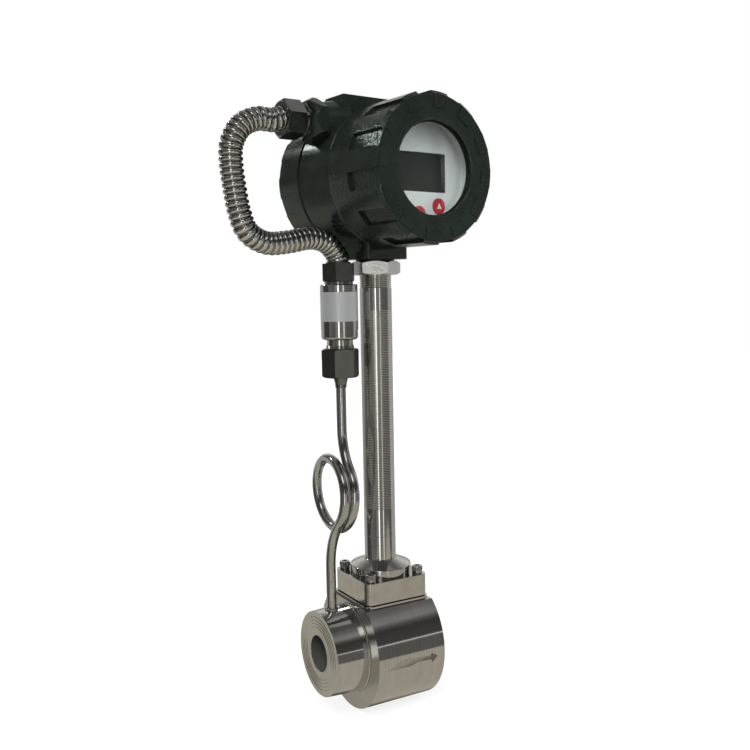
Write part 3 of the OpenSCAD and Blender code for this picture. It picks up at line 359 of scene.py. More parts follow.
NODE_LOOK = {
    "meter_body": "tube_body", "inlet_hub": "hub", "bluff_body": "milled", "vortex_probe": "milled",
    "probe_seal": "ptfe", "flange_gasket": "seal", "neck_flange": "milled", "neck_foot": "foot",
    "neck_tube": "neck", "neck_locknut": "zinc", "neck_washer": "seal", "probe_lead": "seal",
    "siphon_tube": "siphon", "union_ferrule": "ferrule", "union_nut": "nut",
    "pressure_sensor": "sensor", "sensor_nut": "nut", "hose_ferrule": "nut", "conduit_hose": "hose",
    "gland_nut": "gland", "gland_body": "gland", "housing_body": "even_paint", "front_cover": "paint",
    "rear_cover": "even_paint", "front_oring": "seal", "rear_oring": "seal", "window_glass": "glass",
    "window_gasket": "seal", "window_ring": "ring", "display_frame": "white", "face_plate": "plate",
    "lcd_module": "lcd", "display_board": "board", "amplifier_board": "board",
    "board_screws": "screw", "terminal_block": "terminal", "terminal_screws": "screw",
    "ground_screw": "brass",
}
GROUP_LOOK = [("flange_screw", "screw"), ("spring_washer", "screw"), ("key_switch", "tray"),
              ("key_", "red"), ("board_pillar", "brass"), ("board_foot", "brass")]
for node in nodes:
    for start, look in GROUP_LOOK:
        if node.startswith(start):
            NODE_LOOK[node] = look
            break
for node, look in NODE_LOOK.items():
    nodes[node].data.materials.clear()
    nodes[node].data.materials.append(MAT[look])

BODY_OF = {node: body for body, members in frame["record"]["behaviour"]["bodies"].items()
           for node in members}


# Mesh tools; sharp is the angle in degrees from which an edge stays a crease
def make(name, bm, look, body, sharp, stands_for=()):
    """Turns a bmesh into a smooth-shaded piece that rides on a body."""
    mesh = bpy.data.meshes.new(name)
    for face in bm.faces:
        face.smooth = True
    for edge in bm.edges:
        if len(edge.link_faces) == 2 and edge.calc_face_angle(0.0) > math.radians(sharp):
            edge.smooth = False
    bm.to_mesh(mesh)
    bm.free()
    obj = bpy.data.objects.new(name, mesh)
    bpy.context.scene.collection.objects.link(obj)
    mesh.materials.append(MAT[look])
    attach(obj, body)
    if stands_for:
        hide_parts(*stands_for)
    return obj


def make_closed(name, bm, look, body, sharp, stands_for=()):
    """Makes a piece of a closed bmesh, its faces turned outward first."""
    bmesh.ops.recalc_face_normals(bm, faces=bm.faces)
    return make(name, bm, look, body, sharp, stands_for)


def bridge(bm, a, b):
    """Faces between two closed loops that have as many points."""
    for k in range(len(a)):
        m = (k + 1) % len(a)
        bm.faces.new((a[k], a[m], b[m], b[k]))


def even_normals(obj):
    """Keeps big faces flat in the light, and lets their narrow edges take up the turn."""
    mod = obj.modifiers.new("normals", "WEIGHTED_NORMAL")
    mod.mode = "FACE_AREA"
    mod.weight = 90
    mod.keep_sharp = True
    return obj


def dress(node, width, segments=2, inner=None):
    """A copy of a CAD node, in place of it, with its edges rounded off to a width in millimetres.

    inner is an axis number, a point and a radius: walls nearer to that axis get a dark grey, painted
    shade.
    """
    flat, edge_angle, crease, wall = math.radians(0.6), math.radians(28), 32.0, 0.5
    bm = bmesh.new()
    bm.from_mesh(nodes[node].data)
    bmesh.ops.remove_doubles(bm, verts=bm.verts, dist=1e-6)
    bmesh.ops.dissolve_limit(bm, angle_limit=flat, verts=bm.verts, edges=bm.edges)
    edges = [e for e in bm.edges if len(e.link_faces) == 2 and e.calc_face_angle(0.0) > edge_angle]
    bmesh.ops.bevel(bm, geom=edges, offset=width * MM, offset_type="OFFSET", segments=segments,
                    profile=0.6, affect="EDGES", clamp_overlap=True)
    if inner:
        axis, place, radius = inner
        across = [k for k in range(3) if k != axis]
        for face in bm.faces:
            centre = face.calc_center_median()
            away = math.hypot(*(centre[k] - place[k] * MM for k in across))
            if away < radius * MM and abs(face.normal[axis]) < wall:
                face.material_index = 1
    obj = make(node + "_dressed", bm, NODE_LOOK[node], BODY_OF[node], crease, [node])
    if inner:
        obj.data.materials.append(MAT["bore"])
    return even_normals(obj)


def revolve(name, profile, place, look, body, segments, sharp=30.0, stands_for=(), shape=None):
    """Turns a closed outline of (radius, height) points, in millimetres, about place's Z axis.

    shape may change a radius, from the point's number, the angle and the radius.
    """
    bm = bmesh.new()
    rings = []
    for i, (r, z) in enumerate(profile):
        ring = []
        for k in range(segments):
            a = FULL_TURN * k / segments
            ra = (shape(i, a, r) if shape else r) * MM
            ring.append(bm.verts.new(place @ Vector((ra * math.cos(a), ra * math.sin(a), z * MM))))
        rings.append(ring)
    for i in range(len(rings)):
        bridge(bm, rings[i], rings[(i + 1) % len(rings)])
    return make_closed(name, bm, look, body, sharp, stands_for)


def sweep(name, points, radius, sides, look, body, normal=None, stands_for=()):
    """A closed tube through points; radius(i) gives each ring's radius, all in millimetres."""
    crease = 60.0
    bm = bmesh.new()
    rings = []
    side = normal
    last = len(points) - 1
    for i, p in enumerate(points):
        ahead = (points[min(i + 1, last)] - points[max(i - 1, 0)]).normalized()
        if normal is None:
            if side is None:
                side = ahead.orthogonal().normalized()
            side = (side - ahead * side.dot(ahead)).normalized()
        up = ahead.cross(side).normalized()
        r = radius(i)
        rings.append([bm.verts.new((p + side * r * math.cos(FULL_TURN * k / sides)
                                    + up * r * math.sin(FULL_TURN * k / sides)) * MM)
                      for k in range(sides)])
    for a, b in zip(rings, rings[1:]):
        bridge(bm, a, b)
    bm.faces.new(rings[0])
    bm.faces.new(rings[-1])
    return make_closed(name, bm, look, body, crease, stands_for)


# Siphon and the welds
def siphon_points():
    """The siphon's middle line, in millimetres, from the hub through the loop to the sensor.

    Its angles follow from the loop's place and radii, as in the CAD model: a lower and an upper
    bend, and between them a coil of equal arcs that leans by tilt.
    """
    foot_back, sensor_back = 47.5, 34.4
    foot_z, end_z = 31.0, 234.0
    loop_z, loop_y, loop_r = 131.2, 5.9, 29.5
    lower_r, upper_r = 56.8, 46.1
    coil_steps, straight_points, bend_points, arc_points = 10, 6, 16, 12
    lower = math.acos((loop_y + lower_r) / (lower_r + loop_r))
    upper = math.acos((loop_y + upper_r) / (upper_r + loop_r))
    lower_z = loop_z - (lower_r + loop_r) * math.sin(lower)
    upper_z = loop_z + (upper_r + loop_r) * math.sin(upper)
    turn = (FULL_TURN + lower + upper) / coil_steps
    reach = lower_r * math.tan(lower / 2) + upper_r * math.tan(upper / 2)
    tilt = math.asin((foot_back - sensor_back) / (reach + 2 * coil_steps * loop_r * math.tan(turn / 2)))
    arc = 2 * math.asin(math.sin(turn / 2) * math.cos(tilt))
    twist = 2 * math.asin(math.sin(turn / 2) * math.sin(tilt) / math.cos(arc / 2))
    points = []

    def straight(m, length):
        for i in range(straight_points):
            points.append(m @ Vector((0, 0, length * i / straight_points)))
        return m @ Matrix.Translation((0, 0, length))

    def bend(m, r, a, steps):
        for i in range(steps):
            q = a * i / steps
            points.append(m @ Vector((r * (1 - math.cos(q)), 0, r * math.sin(q))))
        ahead = Matrix.Translation((r * (1 - math.cos(a)), 0, r * math.sin(a)))
        return m @ ahead @ Matrix.Rotation(a, 4, "Y")

    def spin(m, a):
        return m @ Matrix.Rotation(a, 4, "Z")

    def lead_turn(b):
        return math.asin(math.sin(tilt) / math.sin(b))

    def lead_twist(b):
        return math.pi - math.asin(math.sin(lead_turn(b)) * math.cos(b) / math.cos(tilt))

    m = straight(Matrix.Translation((NECK_X - foot_back, 0, foot_z)), lower_z - foot_z)
    m = bend(spin(m, lead_turn(lower) - math.pi / 2), lower_r, lower, bend_points)
    m = spin(m, lead_twist(lower))
    for _ in range(coil_steps):
        m = spin(bend(spin(m, -twist / 2), loop_r, arc, arc_points), -twist / 2)
    m = bend(spin(m, lead_twist(upper)), upper_r, upper, bend_points)
    m = straight(m, end_z - upper_z)
    points.append(m @ Vector((0, 0, 0)))
    return points


SIPHON_R, SIPHON_SIDES = 4.1, 28
sweep("siphon_coil", siphon_points(), lambda i: SIPHON_R, SIPHON_SIDES, "siphon", "meter",
      stands_for=["siphon_tube"])


def weld_bead(name, place, r, wide, tall, lumps, seed):
    """A bead laid round place's Z axis; lumps and a slow drift change its width and its height."""
    bm = bmesh.new()
    around, across = 96, 10
    rings = []
    for k in range(around):
        a = FULL_TURN * k / around
        beat = 0.5 + 0.5 * math.cos(lumps * a + 0.6 * math.sin(3 * a + seed))
        drift = noise.noise(Vector((math.cos(a) * 2, math.sin(a) * 2, seed)))
        w = wide * (0.85 + 0.2 * beat + 0.15 * drift)
        t = tall * (0.8 + 0.25 * beat + 0.15 * drift)
        ring = []
        for j in range(across):
            b = FULL_TURN * j / across
            away = r + w * math.cos(b)
            ring.append(bm.verts.new(place @ Vector((away * math.cos(a) * MM, away * math.sin(a) * MM,
                                                     t * math.sin(b) * MM))))
        rings.append(ring)
    for k in range(around):
        bridge(bm, rings[k], rings[(k + 1) % around])
    make_closed(name, bm, "weld", "meter", sharp=80)


WELD_X, WELD_Z, WELD_R = 13.1, 35.7, 4.3
weld_bead("siphon_weld", Matrix.Translation((WELD_X * MM, 0, WELD_Z * MM)), WELD_R, wide=1.5, tall=1.3,
          lumps=9, seed=1.7)

HUB_SEGMENTS = 128
BEAD_R, BEAD_X, BEAD_TALL, BEAD_WIDE = 36.75, 28.0, 0.45, 0.5
BEAD_STEP, BEAD_SIDES = math.pi / 6, 12
hub_bead = [(BEAD_R + BEAD_TALL * math.cos(k * BEAD_STEP), BEAD_X + BEAD_WIDE * math.sin(k * BEAD_STEP))
            for k in range(BEAD_SIDES)]
revolve("hub_weld", hub_bead, ALONG_FLOW, "bead", "meter", HUB_SEGMENTS, sharp=80)

# Conduit hose, from the ferrule on the sensor to the gland in the head's left entry
ENTRY_H, ENTRY_BACK, ENTRY_FACE = 41.3, 1.5, 62.5
GLAND_HEX, GLAND_GAP, GLAND_NUT = 4.4, 2.6, 16.1
GLAND_END = ENTRY_FACE + GLAND_HEX + GLAND_GAP + GLAND_NUT
HOSE_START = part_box("hose_ferrule")[0][2] / MM
HOSE_BITE = 8.0
HOSE_SHAPE = [(0, 0.04), (0.22, 0.15), (0.53, 0.18), (0.92, 0.15), (1.31, 0.14), (1.61, 0.21),
              (1.74, 0.34), (1.81, 0.51), (1.85, 0.67), (1.83, 0.80), (1.67, 0.92), (1.4, 0.98),
              (1.18, 0.98)]
PITCH = 4.6
RINGS_A_PITCH = 14
HOSE_SIDES = 36
VALLEY_R, CREST_TALL, CREST_HALF = 7.75, 1.35, 0.4
# Rings that stand up less than this share of a crest get the valleys' painted shade
PAINTED_SHADE_BELOW = 0.5


def hose_points(step):
    """The hose's middle line with points about step apart, a vector square to it, and its length.

    HOSE_SHAPE has shares of the reach and of the rise. The ends go on into ferrule and gland.
    """
    foot = Vector((SENSOR_X, 0, HOSE_START))
    end = head_point(-GLAND_END, ENTRY_H, -ENTRY_BACK) / MM
    span = Vector((end.x - foot.x, end.y - foot.y, 0))
    reach, rise = span.length, end.z - foot.z
    way = span.normalized()
    route = ([(0, -1.5 * HOSE_BITE / rise), (0, (1 - HOSE_BITE) / rise), (0, 0)] + HOSE_SHAPE
             + [(1, 1), (1 - (HOSE_BITE - 1) / reach, 1), (1 - 1.5 * HOSE_BITE / reach, 1)])
    line = []
    fine = 40
    for i in range(1, len(route) - 2):
        a, b, c, d = [Vector(route[i + k]) for k in (-1, 0, 1, 2)]
        for j in range(fine):
            t = j / fine
            line.append((2 * b + (c - a) * t + (2 * a - 5 * b + 4 * c - d) * t * t
                         + (3 * b - a - 3 * c + d) * t ** 3) / 2)
    line.append(Vector(route[-2]))
    spots = [foot + way * (q[0] * reach) + Vector((0, 0, q[1] * rise)) for q in line]
    lengths = [0.0]
    for a, b in zip(spots, spots[1:]):
        lengths.append(lengths[-1] + (b - a).length)
    total = lengths[-1]
    count = round(total / step)
    out = []
    j = 0
    for i in range(count + 1):
        s = total * i / count
        while j < len(spots) - 2 and lengths[j + 1] < s:
            j += 1
        share = (s - lengths[j]) / max(lengths[j + 1] - lengths[j], 1e-9)
        out.append(spots[j].lerp(spots[j + 1], min(1, max(0, share))))
    return out, Vector((-way.y, way.x, 0)), total


hose_line, hose_side, hose_total = hose_points(PITCH / RINGS_A_PITCH)
hose_turns = round(hose_total / PITCH)


def hose_crest(i):
    """How far ring i stands up, from 0 to 1: a round crest over most of a pitch, and a narrow valley."""
    phase = (hose_turns * i / (len(hose_line) - 1)) % 1.0
    return math.sqrt(max(0.0, 1 - ((phase - 0.5) / CREST_HALF) ** 2))


hose = sweep("hose_bellows", hose_line, lambda i: VALLEY_R + CREST_TALL * hose_crest(i), HOSE_SIDES,
             "hose", "meter", normal=hose_side, stands_for=["conduit_hose"])
# The valley faces take the darker copy of the metal: painted shade in the hose's grooves
hose.data.materials.append(MAT["hose_valley"])
for k, face in enumerate(hose.data.polygons):
    ring = k // HOSE_SIDES
    if min(hose_crest(ring), hose_crest(ring + 1)) < PAINTED_SHADE_BELOW:
        face.material_index = 1

# CAD nodes with rounded edges: the width of the rounding in millimetres
EDGE_WIDTH = {
    "front_cover": 0.9, "rear_cover": 0.7, "housing_body": 0.9, "neck_flange": 0.6,
    "neck_locknut": 0.35, "union_nut": 0.35, "sensor_nut": 0.35, "gland_nut": 0.35,
    "gland_body": 0.3, "meter_body": 0.35, "neck_foot": 0.25, "union_ferrule": 0.15,
    "hose_ferrule": 0.25,
}
EDGE_SEGMENTS = {"front_cover": 3}
# The flow tube's bore walls get the dark grey of painted shade
INNER = {"meter_body": (0, (0, 0, 0), 17.0)}
END_FACE = 0.95
dressed = {}
for node, width in EDGE_WIDTH.items():
    dressed[node] = dress(node, width, EDGE_SEGMENTS.get(node, 2), INNER.get(node))
dressed["meter_body"].data.materials.append(MAT["faced"])
for face in dressed["meter_body"].data.polygons:
    if abs(face.normal.x) > END_FACE:
        face.material_index = 2

# Flange screws
SOCKET_R, SCREW_EDGE = 2.45, 0.25
KNURL_TEETH, KNURL_DEPTH, KNURL_SEGMENTS = 24, 0.22, 144


def knurled(i, a, r):
    """Gives the teeth to the two outer points of the band."""
    return r + (KNURL_DEPTH * math.cos(KNURL_TEETH * a) if i in (1, 2) else 0)


def screw_head(number):
    """Paints shade into the socket of a flange screw, and puts the knurl round its head."""
    low, high = [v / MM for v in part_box(f"flange_screw_{number}")]
    x, y = (low.x + high.x) / 2, (low.y + high.y) / 2
    dress(f"flange_screw_{number}", SCREW_EDGE, inner=(2, (x, y, 0), SOCKET_R))
    r = (high.x - low.x) / 2
    inside, outside, top = r - 0.4, r + 0.1, high.z
    band = [(inside, top - 4.2), (outside, top - 4.0), (outside, top - 0.8), (inside, top - 0.6)]
    revolve(f"screw_knurl_{number}", band, Matrix.Translation((x * MM, y * MM, 0)), "knurl", "meter",
            KNURL_SEGMENTS, sharp=15, shape=knurled)


for number in range(1, 5):
    screw_head(number)


# Inlet hub
def hub_profile():
    """Half section of the inlet hub: bore, grooved face and cone, as radius and station."""
    bore, face_r, root_r, length, edge = 14.85, 34.9, 36.4, 28.6, 0.3
    grooves, half_steps, step, half_depth = (21.6, 24.4, 27.2, 30.0), 4, 0.15, 0.2
    out = [(bore, length), (bore, edge), (bore + edge, 0)]
    for centre in grooves:
        for k in range(-half_steps, half_steps + 1):
            out.append((centre + step * k, half_depth * (1 + math.cos(math.pi * k / half_steps))))
    out.extend([(face_r - edge, 0), (face_r - 0.3 * edge, 0.3 * edge), (face_r, edge), (root_r, length)])
    return out


hub = even_normals(revolve("hub_turned", hub_profile(), ALONG_FLOW, "hub", "meter", HUB_SEGMENTS,
                           sharp=50, stands_for=["inlet_hub"]))
# The hub's bore wall gets the dark grey of painted shade
hub.data.materials.append(MAT["bore"])
for face in hub.data.polygons[:HUB_SEGMENTS]:
    face.material_index = 1


# Neck tube
def neck_profile():
    """Half section of the neck tube, as radius and height: two lines, the fine turning, the thread."""
    low, top = [corner[2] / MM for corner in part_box("neck_tube")]
    r, bore = 13.25, 10.75
    out = [(bore, low), (r, low)]
    line_depth, line_half = 0.05, 0.12
    for z in (92.5, 104.0):
        out.extend([(r, z - line_half), (r - line_depth, z), (r, z + line_half)])
    first, last, pitch, land, depth = 115.0, 281.0, 1.4, 0.75, 0.13
    count = round((last - first) / pitch)
    for i in range(count):
        z = first + pitch * i
        out.extend([(r, z), (r, z + land), (r - depth, z + (land + pitch) / 2)])
    out.append((r, first + pitch * count))
    thread_low, thread_high, thread_pitch, root = 300.0, 310.0, 1.5, r - 0.5
    z = thread_low
    while z < thread_high:
        out.extend([(r, z), (root, z + 0.6), (root, z + 0.75), (r, z + 1.35)])
        z += thread_pitch
    out.extend([(r, thread_high + thread_pitch), (r, top), (bore, top)])
    return out


even_normals(revolve("neck_grooved", neck_profile(), ON_NECK, "neck", "meter", segments=72, sharp=12,
                     stands_for=["neck_tube"]))

# Pressure sensor; its two spanner flats take in the points from number 7 to number 11
SENSOR_R = 15.2
SENSOR_FLAT = 14.5
SENSOR_FLAT_TURN = -36.0
FLAT_POINTS = range(7, 12)
SENSOR_PROFILE = [
    (2.5, 240.5), (9, 240.5), (9, 251.5), (11.2, 251.5), (11.2, 254.1), (10.65, 254.1), (10.65, 258.9),
    (13.2, 258.9), (13.8, 259.25), (14.8, 260.2), (SENSOR_R, 260.9), (SENSOR_R, 266.85),
    (SENSOR_R, 266.9), (SENSOR_R, 302.7), (14.9, 303.15), (14.4, 303.4), (11.5, 303.4), (11.5, 305.5),
    (2.5, 305.5)]
LABEL_IN, LABEL_OUT, LABEL_LOW, LABEL_HIGH = 15.1, 15.27, 273.8, 297.3


def sensor_flats(i, a, r):
    """Cuts the flats off the radius; the least cosine only keeps the quotient finite."""
    if i not in FLAT_POINTS:
        return r
    least = 0.2
    return min(r, SENSOR_FLAT / max(least, abs(math.cos(a - math.radians(SENSOR_FLAT_TURN)))))


def thread_end(name, r, low, high, pitch, deep):
    """A short thread on the sensor's axis, as rings with flat crests."""
    out = [(r - 2 * deep, low)]
    crest = r + 0.02
    z = low
    while z < high - 0.6 * pitch:
        out.extend([(r - deep, z), (crest, z + 0.4 * pitch), (crest, z + 0.6 * pitch)])
        z += pitch
    out.extend([(r - deep, high), (r - 2 * deep, high)])
    revolve(name, out, ON_SENSOR, "sensor", "meter", segments=72, sharp=20)


revolve("sensor_body", SENSOR_PROFILE, ON_SENSOR, "sensor", "meter", segments=180, sharp=20,
        stands_for=["pressure_sensor"], shape=sensor_flats)
revolve("sensor_label", [(LABEL_IN, LABEL_LOW), (LABEL_OUT, LABEL_LOW), (LABEL_OUT, LABEL_HIGH),
                         (LABEL_IN, LABEL_HIGH)], ON_SENSOR, "label", "meter", segments=96)
thread_end("sensor_thread_top", 11.75, 303.42, 305.48, pitch=1.0, deep=0.3)
thread_end("sensor_thread_low", 11.5, 251.55, 254.1, pitch=1.25, deep=0.35)


# Marks: the triangle on the first key and the engraved arrow on the flow tube
def plate_mark(name, points, place, low, high, look, body):
    """A thin plate with the given outline in place's XY plane, from low to high."""
    bm = bmesh.new()
    a, b = [[bm.verts.new(place @ Vector((x * MM, y * MM, z * MM))) for x, y in points]
            for z in (low, high)]
    bm.faces.new(a)
    bm.faces.new(b)
    bridge(bm, a, b)
    make_closed(name, bm, look, body, sharp=30)


KEY_R, KEY_TOP, KEY_ANGLE = 32.5, 58.6, math.radians(143)
MARK_UP, MARK_DOWN, MARK_SIDE, MARK_HALF = 2.6, 1.9, 2.5, 0.05
key_x, key_y = KEY_R * math.sin(KEY_ANGLE), KEY_R * math.cos(KEY_ANGLE)
plate_mark("key_mark", [(key_x, key_y + MARK_UP), (key_x - MARK_SIDE, key_y - MARK_DOWN),
                        (key_x + MARK_SIDE, key_y - MARK_DOWN)],
           HEAD, KEY_TOP - MARK_HALF, KEY_TOP + MARK_HALF, "mark", "key_1")


def wrap_mark(name, points, radius, look):
    """A thin skin on the flow tube; its outline is stations along the tube and degrees round it.

    It is cut at each degree, so that it bends round with the tube.
    """
    cuts = range(-10, 4)
    bm = bmesh.new()
    bm.faces.new([bm.verts.new((x, radius * math.radians(a), 0)) for x, a in points])
    for a in cuts:
        geom = list(bm.verts) + list(bm.edges) + list(bm.faces)
        bmesh.ops.bisect_plane(bm, geom=geom, plane_co=(0, radius * math.radians(a), 0),
                               plane_no=(0, 1, 0))
    bmesh.ops.triangulate(bm, faces=bm.faces)
    for v in bm.verts:
        a = v.co.y / radius
        v.co = Vector((v.co.x, -radius * math.cos(a), radius * math.sin(a))) * MM
    bmesh.ops.recalc_face_normals(bm, faces=bm.faces)
    outward = 0
    for face in bm.faces:
        centre = face.calc_center_median()
        outward += face.normal.dot(Vector((0, centre.y, centre.z)))
    if outward < 0:
        bmesh.ops.reverse_faces(bm, faces=bm.faces)
    make(name, bm, look, "meter", sharp=30)


ARROW_R = 50.79
wrap_mark("flow_arrow", [
    (36.6, -6.2), (58.3, -6.5), (65.2, -4.2), (77.8, -4.9), (79.4, -8.4), (84.1, -2.6), (78.3, 1.7),
    (77.3, -1.0), (64.1, -0.2), (57.7, 1.9), (46.0, -0.9)], ARROW_R, "etch")

# Camera, fitted to the photograph: its right, down and forward directions, and its place in metres
CAMERA_RIGHT = Vector((0.8656838, -0.5002595, -0.0182196))
CAMERA_DOWN = Vector((-0.0624592, -0.0718287, -0.9954594))
CAMERA_AHEAD = Vector((0.4966793, 0.8628911, -0.0934268))
CAMERA_PLACE = (-0.3135978, -0.646534, 0.2977452)
CAMERA_SIDE = math.atan2(-CAMERA_AHEAD.y, -CAMERA_AHEAD.x)
scene = bpy.context.scene
cam_data = bpy.data.cameras.new("camera")
cam_data.sensor_width = 36.0
cam_data.lens = 43.054
cam_data.clip_start = 0.05
cam_data.clip_end = 50
cam = bpy.data.objects.new("camera", cam_data)
scene.collection.objects.link(cam)
cam.matrix_world = (Matrix.Translation(CAMERA_PLACE)
                    @ Matrix((CAMERA_RIGHT, -CAMERA_DOWN, -CAMERA_AHEAD)).transposed().to_4x4())
scene.camera = cam


# World
def studio_world():
    """Soft light on the object, and white to camera, glossy and transmission rays."""
    world = bpy.data.worlds.new("studio")
    tree = blank_tree(world)
    out = add(tree, "OutputWorld")
    path = add(tree, "LightPath")
    soft = add(tree, "Background", Color=(0.95, 0.97, 1.0, 1), Strength=0.55)
    white = add(tree, "Background", Color=(1, 1, 1, 1), Strength=1.0)
    mirrored = math_node(tree, "MAXIMUM", path.outputs["Is Glossy Ray"],
                         path.outputs["Is Transmission Ray"])
    mix = add(tree, "MixShader")
    link(tree, math_node(tree, "MAXIMUM", path.outputs["Is Camera Ray"], mirrored), mix.inputs[0])
    link(tree, soft.outputs[0], mix.inputs[1])
    link(tree, white.outputs[0], mix.inputs[2])
    link(tree, mix.outputs[0], out.inputs[0])
    return world


scene.world = studio_world()


# Floor
def stage_mesh(name, verts, faces, mat):
    mesh = bpy.data.meshes.new(name)
    mesh.from_pydata(verts, [], faces)
    mesh.materials.append(mat)
    obj = bpy.data.objects.new(name, mesh)
    scene.collection.objects.link(obj)
    return obj


def floor_material():
    """A grey floor that glows for the camera alone: white far off, a little darker near the object."""
    mat = bpy.data.materials.new("pale_floor")
    tree = blank_tree(mat)
    out = add(tree, "OutputMaterial")
    matt = add(tree, "BsdfDiffuse", Color=(0.30, 0.30, 0.30, 1))
    glow = add(tree, "Emission", Color=(1, 1, 1, 1))
    spot = add(tree, "TexCoord")
    far = add(tree, "VectorMath", operation="LENGTH")
    link(tree, spot.outputs["Object"], far.inputs[0])
    level = add(tree, "MapRange")
    link(tree, far.outputs["Value"], level.inputs["Value"])
    for key, value in {"From Min": 0.15, "From Max": 0.9, "To Min": 0.78, "To Max": 1.0}.items():
        level.inputs[key].default_value = value
    path = add(tree, "LightPath")
    link(tree, math_node(tree, "MULTIPLY", level.outputs[0], path.outputs["Is Camera Ray"]),
         glow.inputs[1])
    both = add(tree, "AddShader")
    link(tree, matt.outputs[0], both.inputs[0])
    link(tree, glow.outputs[0], both.inputs[1])
    link(tree, both.outputs[0], out.inputs[0])
    return mat


FLOOR_R, FLOOR_SIDES, FLOOR_GAP = 4, 64, 0.0005
floor_z = cad_box[0].z - FLOOR_GAP
rim = [(FLOOR_R * math.cos(FULL_TURN * k / FLOOR_SIDES), FLOOR_R * math.sin(FULL_TURN * k / FLOOR_SIDES),
        floor_z) for k in range(FLOOR_SIDES)]
floor = stage_mesh("floor", rim, [list(range(FLOOR_SIDES))], floor_material())
floor.visible_glossy = False


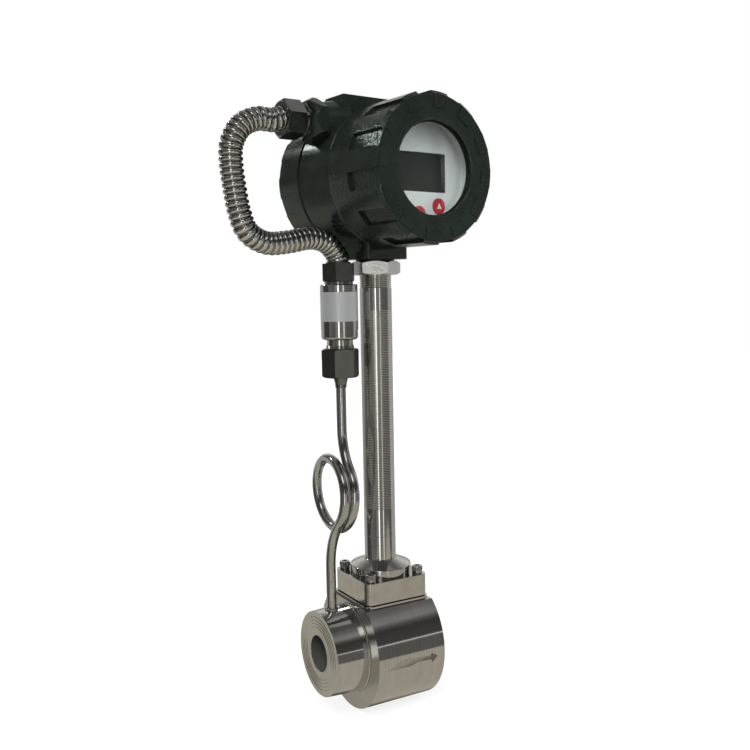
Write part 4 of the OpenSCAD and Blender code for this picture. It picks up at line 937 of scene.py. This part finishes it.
# Room: the studio that polished metal mirrors, seen by glossy rays alone
def room_material():
    """Light by direction from the object.

    A side is an azimuth in degrees, 0 towards the camera; a height is an elevation in degrees.
    """
    mat = bpy.data.materials.new("room_card")
    tree = blank_tree(mat)
    out = add(tree, "OutputMaterial")
    glow = add(tree, "Emission")
    spot = add(tree, "TexCoord")
    unit = add(tree, "VectorMath", operation="NORMALIZE")
    link(tree, spot.outputs["Object"], unit.inputs[0])
    x, y, z = split_xyz(tree, unit.outputs[0])
    grey, warm, plain = (1, 0.985, 0.94), (1, 0.93, 0.78), (1, 1, 1)

    def share(angle, span):
        """An angle as a share of its span, from 0 to 1."""
        return math_node(tree, "ADD", math_node(tree, "DIVIDE", angle, span), 0.5)

    rise = share(math_node(tree, "ARCSINE", z), math.pi)
    turn = share(math_node(tree, "ARCTAN2", y, x), FULL_TURN)

    def by_side(stops, tint=plain):
        """Light by side: stops are pairs of a side and a level."""
        return ramp(tree, turn, [((side + 180) / 360, [v * f for f in tint]) for side, v in stops])

    def by_height(stops):
        """Light by height: stops are pairs of a height and a level."""
        return ramp(tree, rise, [((high + 90) / 180, [v * f for f in grey]) for high, v in stops])

    def mix(fac, a, b):
        node = add(tree, "Mix", data_type="RGBA")
        link(tree, fac, node.inputs["Factor"])
        for key, v in (("A", a), ("B", b)):
            if isinstance(v, tuple):
                node.inputs[key].default_value = (*v, 1)
            else:
                link(tree, v, node.inputs[key])
        return node.outputs["Result"]

    def times(a, b):
        return math_node(tree, "MULTIPLY", a, b)

    def flip(a):
        return math_node(tree, "SUBTRACT", 1.0, a)

    def smooth(value, low, high):
        """0 below low, 1 above high."""
        node = add(tree, "MapRange", interpolation_type="SMOOTHSTEP")
        link(tree, value, node.inputs["Value"])
        node.inputs["From Min"].default_value = low
        node.inputs["From Max"].default_value = high
        return node.outputs[0]

    def above(low, high, height=rise):
        """0 below the first height, 1 above the second."""
        return smooth(height, (low + 90) / 180, (high + 90) / 180)

    def lamp(side, high, spread):
        """1 inside a round lamp that hangs at that side and height, 0 outside it."""
        a, b = math.radians(side), math.radians(high)
        dot = add(tree, "VectorMath", operation="DOT_PRODUCT")
        dot.inputs[1].default_value = (math.cos(b) * math.cos(a), math.cos(b) * math.sin(a), math.sin(b))
        link(tree, unit.outputs[0], dot.inputs[0])
        return smooth(dot.outputs["Value"], math.cos(math.radians(spread)),
                      math.cos(math.radians(0.6 * spread)))

    # The walls at the object's own height, by side
    level = by_side([
        (-180, 0.47), (-114, 0.47), (-107, 0.12), (-98, 0.07), (-68, 0.06), (-62, 0.18), (-48, 0.17),
        (-34, 0.13), (-26, 0.16), (-18, 0.32), (-10, 0.30), (-7, 0.4), (-5.5, 3.0), (-1, 3.0), (0.8, 0.4),
        (5, 0.2), (16, 0.26), (25, 0.26), (26.5, 1.5), (29.5, 1.5), (31, 0.28), (42, 0.16), (52, 0.14),
        (90, 0.13), (95, 0.2), (99, 0.47), (180, 0.47)], grey)
    edge = by_side([(-60, 0), (-40, 0), (36, 0), (44, 1), (92, 1), (98, 0)])
    line = mix(edge, level, (0.78, 0.775, 0.745))

    # The upper walls: front and back, a bright strip, and two lamps
    front = by_height([(10, 0.075), (28, 0.055), (34, 0.12), (40, 0.29), (46, 0.27), (52, 0.19),
                       (62, 0.11), (90, 0.08)])
    back = by_height([(6, 0.47), (14, 0.75), (24, 0.75), (32, 0.52), (40, 0.35), (48, 0.17), (54, 0.15),
                      (60, 0.34), (68, 0.34), (90, 0.3)])
    dim = by_side([(-156, 0), (-134, 1), (-98, 1), (-90, 0)])
    behind = by_side([(-112, 1), (-102, 0), (94, 0), (100, 1)])
    strip = times(by_side([(-8, 0), (-4, 0.9), (1.5, 0.9), (6, 0)]), flip(above(14.0, 20.0)))
    upper = mix(behind, front, mix(dim, back, (0.13, 0.13, 0.125)))
    upper = mix(strip, upper, (0.9, 0.9, 0.88))
    upper = mix(lamp(-120, 35.5, 4.2), upper, (12.0, 12.0, 11.7))
    upper = mix(lamp(-8, 45, 13), upper, (1.9, 1.88, 1.8))

    # The floor as metal sees it, with its shaded parts
    shade_side = by_side([(-112, 0), (-104, 1), (-68, 1), (-58, 0.6), (-36, 0.5), (-26, 0)])
    under_side = by_side([(-180, 1), (-134, 1), (-122, 0), (160, 0), (175, 1)])
    dark = math_node(tree, "MAXIMUM", times(shade_side, above(-36.0, -28.0)),
                     times(under_side, flip(above(-28.0, -23.0))))
    low = mix(dark, tuple(0.505 * f for f in warm), (0.085, 0.08, 0.07))
    lift = by_side([(40, 0.014), (50, 0), (72, 0), (80, 0.014)])

    # From below: floor, walls, their bright edge, upper walls
    air = mix(above(-17.5, -16.0, math_node(tree, "ADD", rise, lift)), low, level)
    air = mix(above(4.0, 5.0), air, line)
    air = mix(above(6.0, 7.0), air, upper)
    link(tree, air, glow.inputs[0])
    link(tree, glow.outputs[0], out.inputs[0])
    mat.cycles.emission_sampling = "NONE"
    return mat


def room(radius, height, steps=72, rings=36):
    """A sphere round the neck, in metres, turned so that the material's side 0 is the camera's."""
    verts, faces = [], []
    for j in range(rings + 1):
        e = math.radians(-90 + 180 * j / rings)
        for i in range(steps):
            a = FULL_TURN * i / steps
            verts.append((radius * math.cos(e) * math.cos(a), radius * math.cos(e) * math.sin(a),
                          radius * math.sin(e)))
    for j in range(rings):
        for i in range(steps):
            a, b = j * steps + i, j * steps + (i + 1) % steps
            faces.append((a, b, b + steps, a + steps))
    obj = stage_mesh("room", verts, faces, room_material())
    obj.location = (NECK_X * MM, 0, height)
    obj.rotation_euler = (0, 0, CAMERA_SIDE)
    obj.visible_camera = False
    obj.visible_diffuse = False
    obj.visible_transmission = False
    obj.visible_shadow = False
    obj.visible_volume_scatter = False


room(radius=3.0, height=0.2)


# Lights, which metal doesn't mirror
def area(name, place, target, size, power):
    """A rectangular lamp that points at the target; metres and watts."""
    light = bpy.data.lights.new(name, "AREA")
    light.energy = power
    light.shape = "RECTANGLE"
    light.size, light.size_y = size
    obj = bpy.data.objects.new(name, light)
    obj.location = place
    obj.rotation_euler = (Vector(target) - Vector(place)).to_track_quat("-Z", "Y").to_euler()
    obj.visible_glossy = False
    scene.collection.objects.link(obj)


area("key", (-0.9, -1.3, 1.5), (0.06, 0, 0.25), (0.7, 1.0), 26)
area("fill", (1.4, -1.0, 0.7), (0.06, 0, 0.2), (0.5, 1.2), 9)
area("rim", (-0.6, 1.2, 1.2), (0.06, 0, 0.3), (0.8, 0.8), 10)

scene.view_settings.view_transform = "Standard"
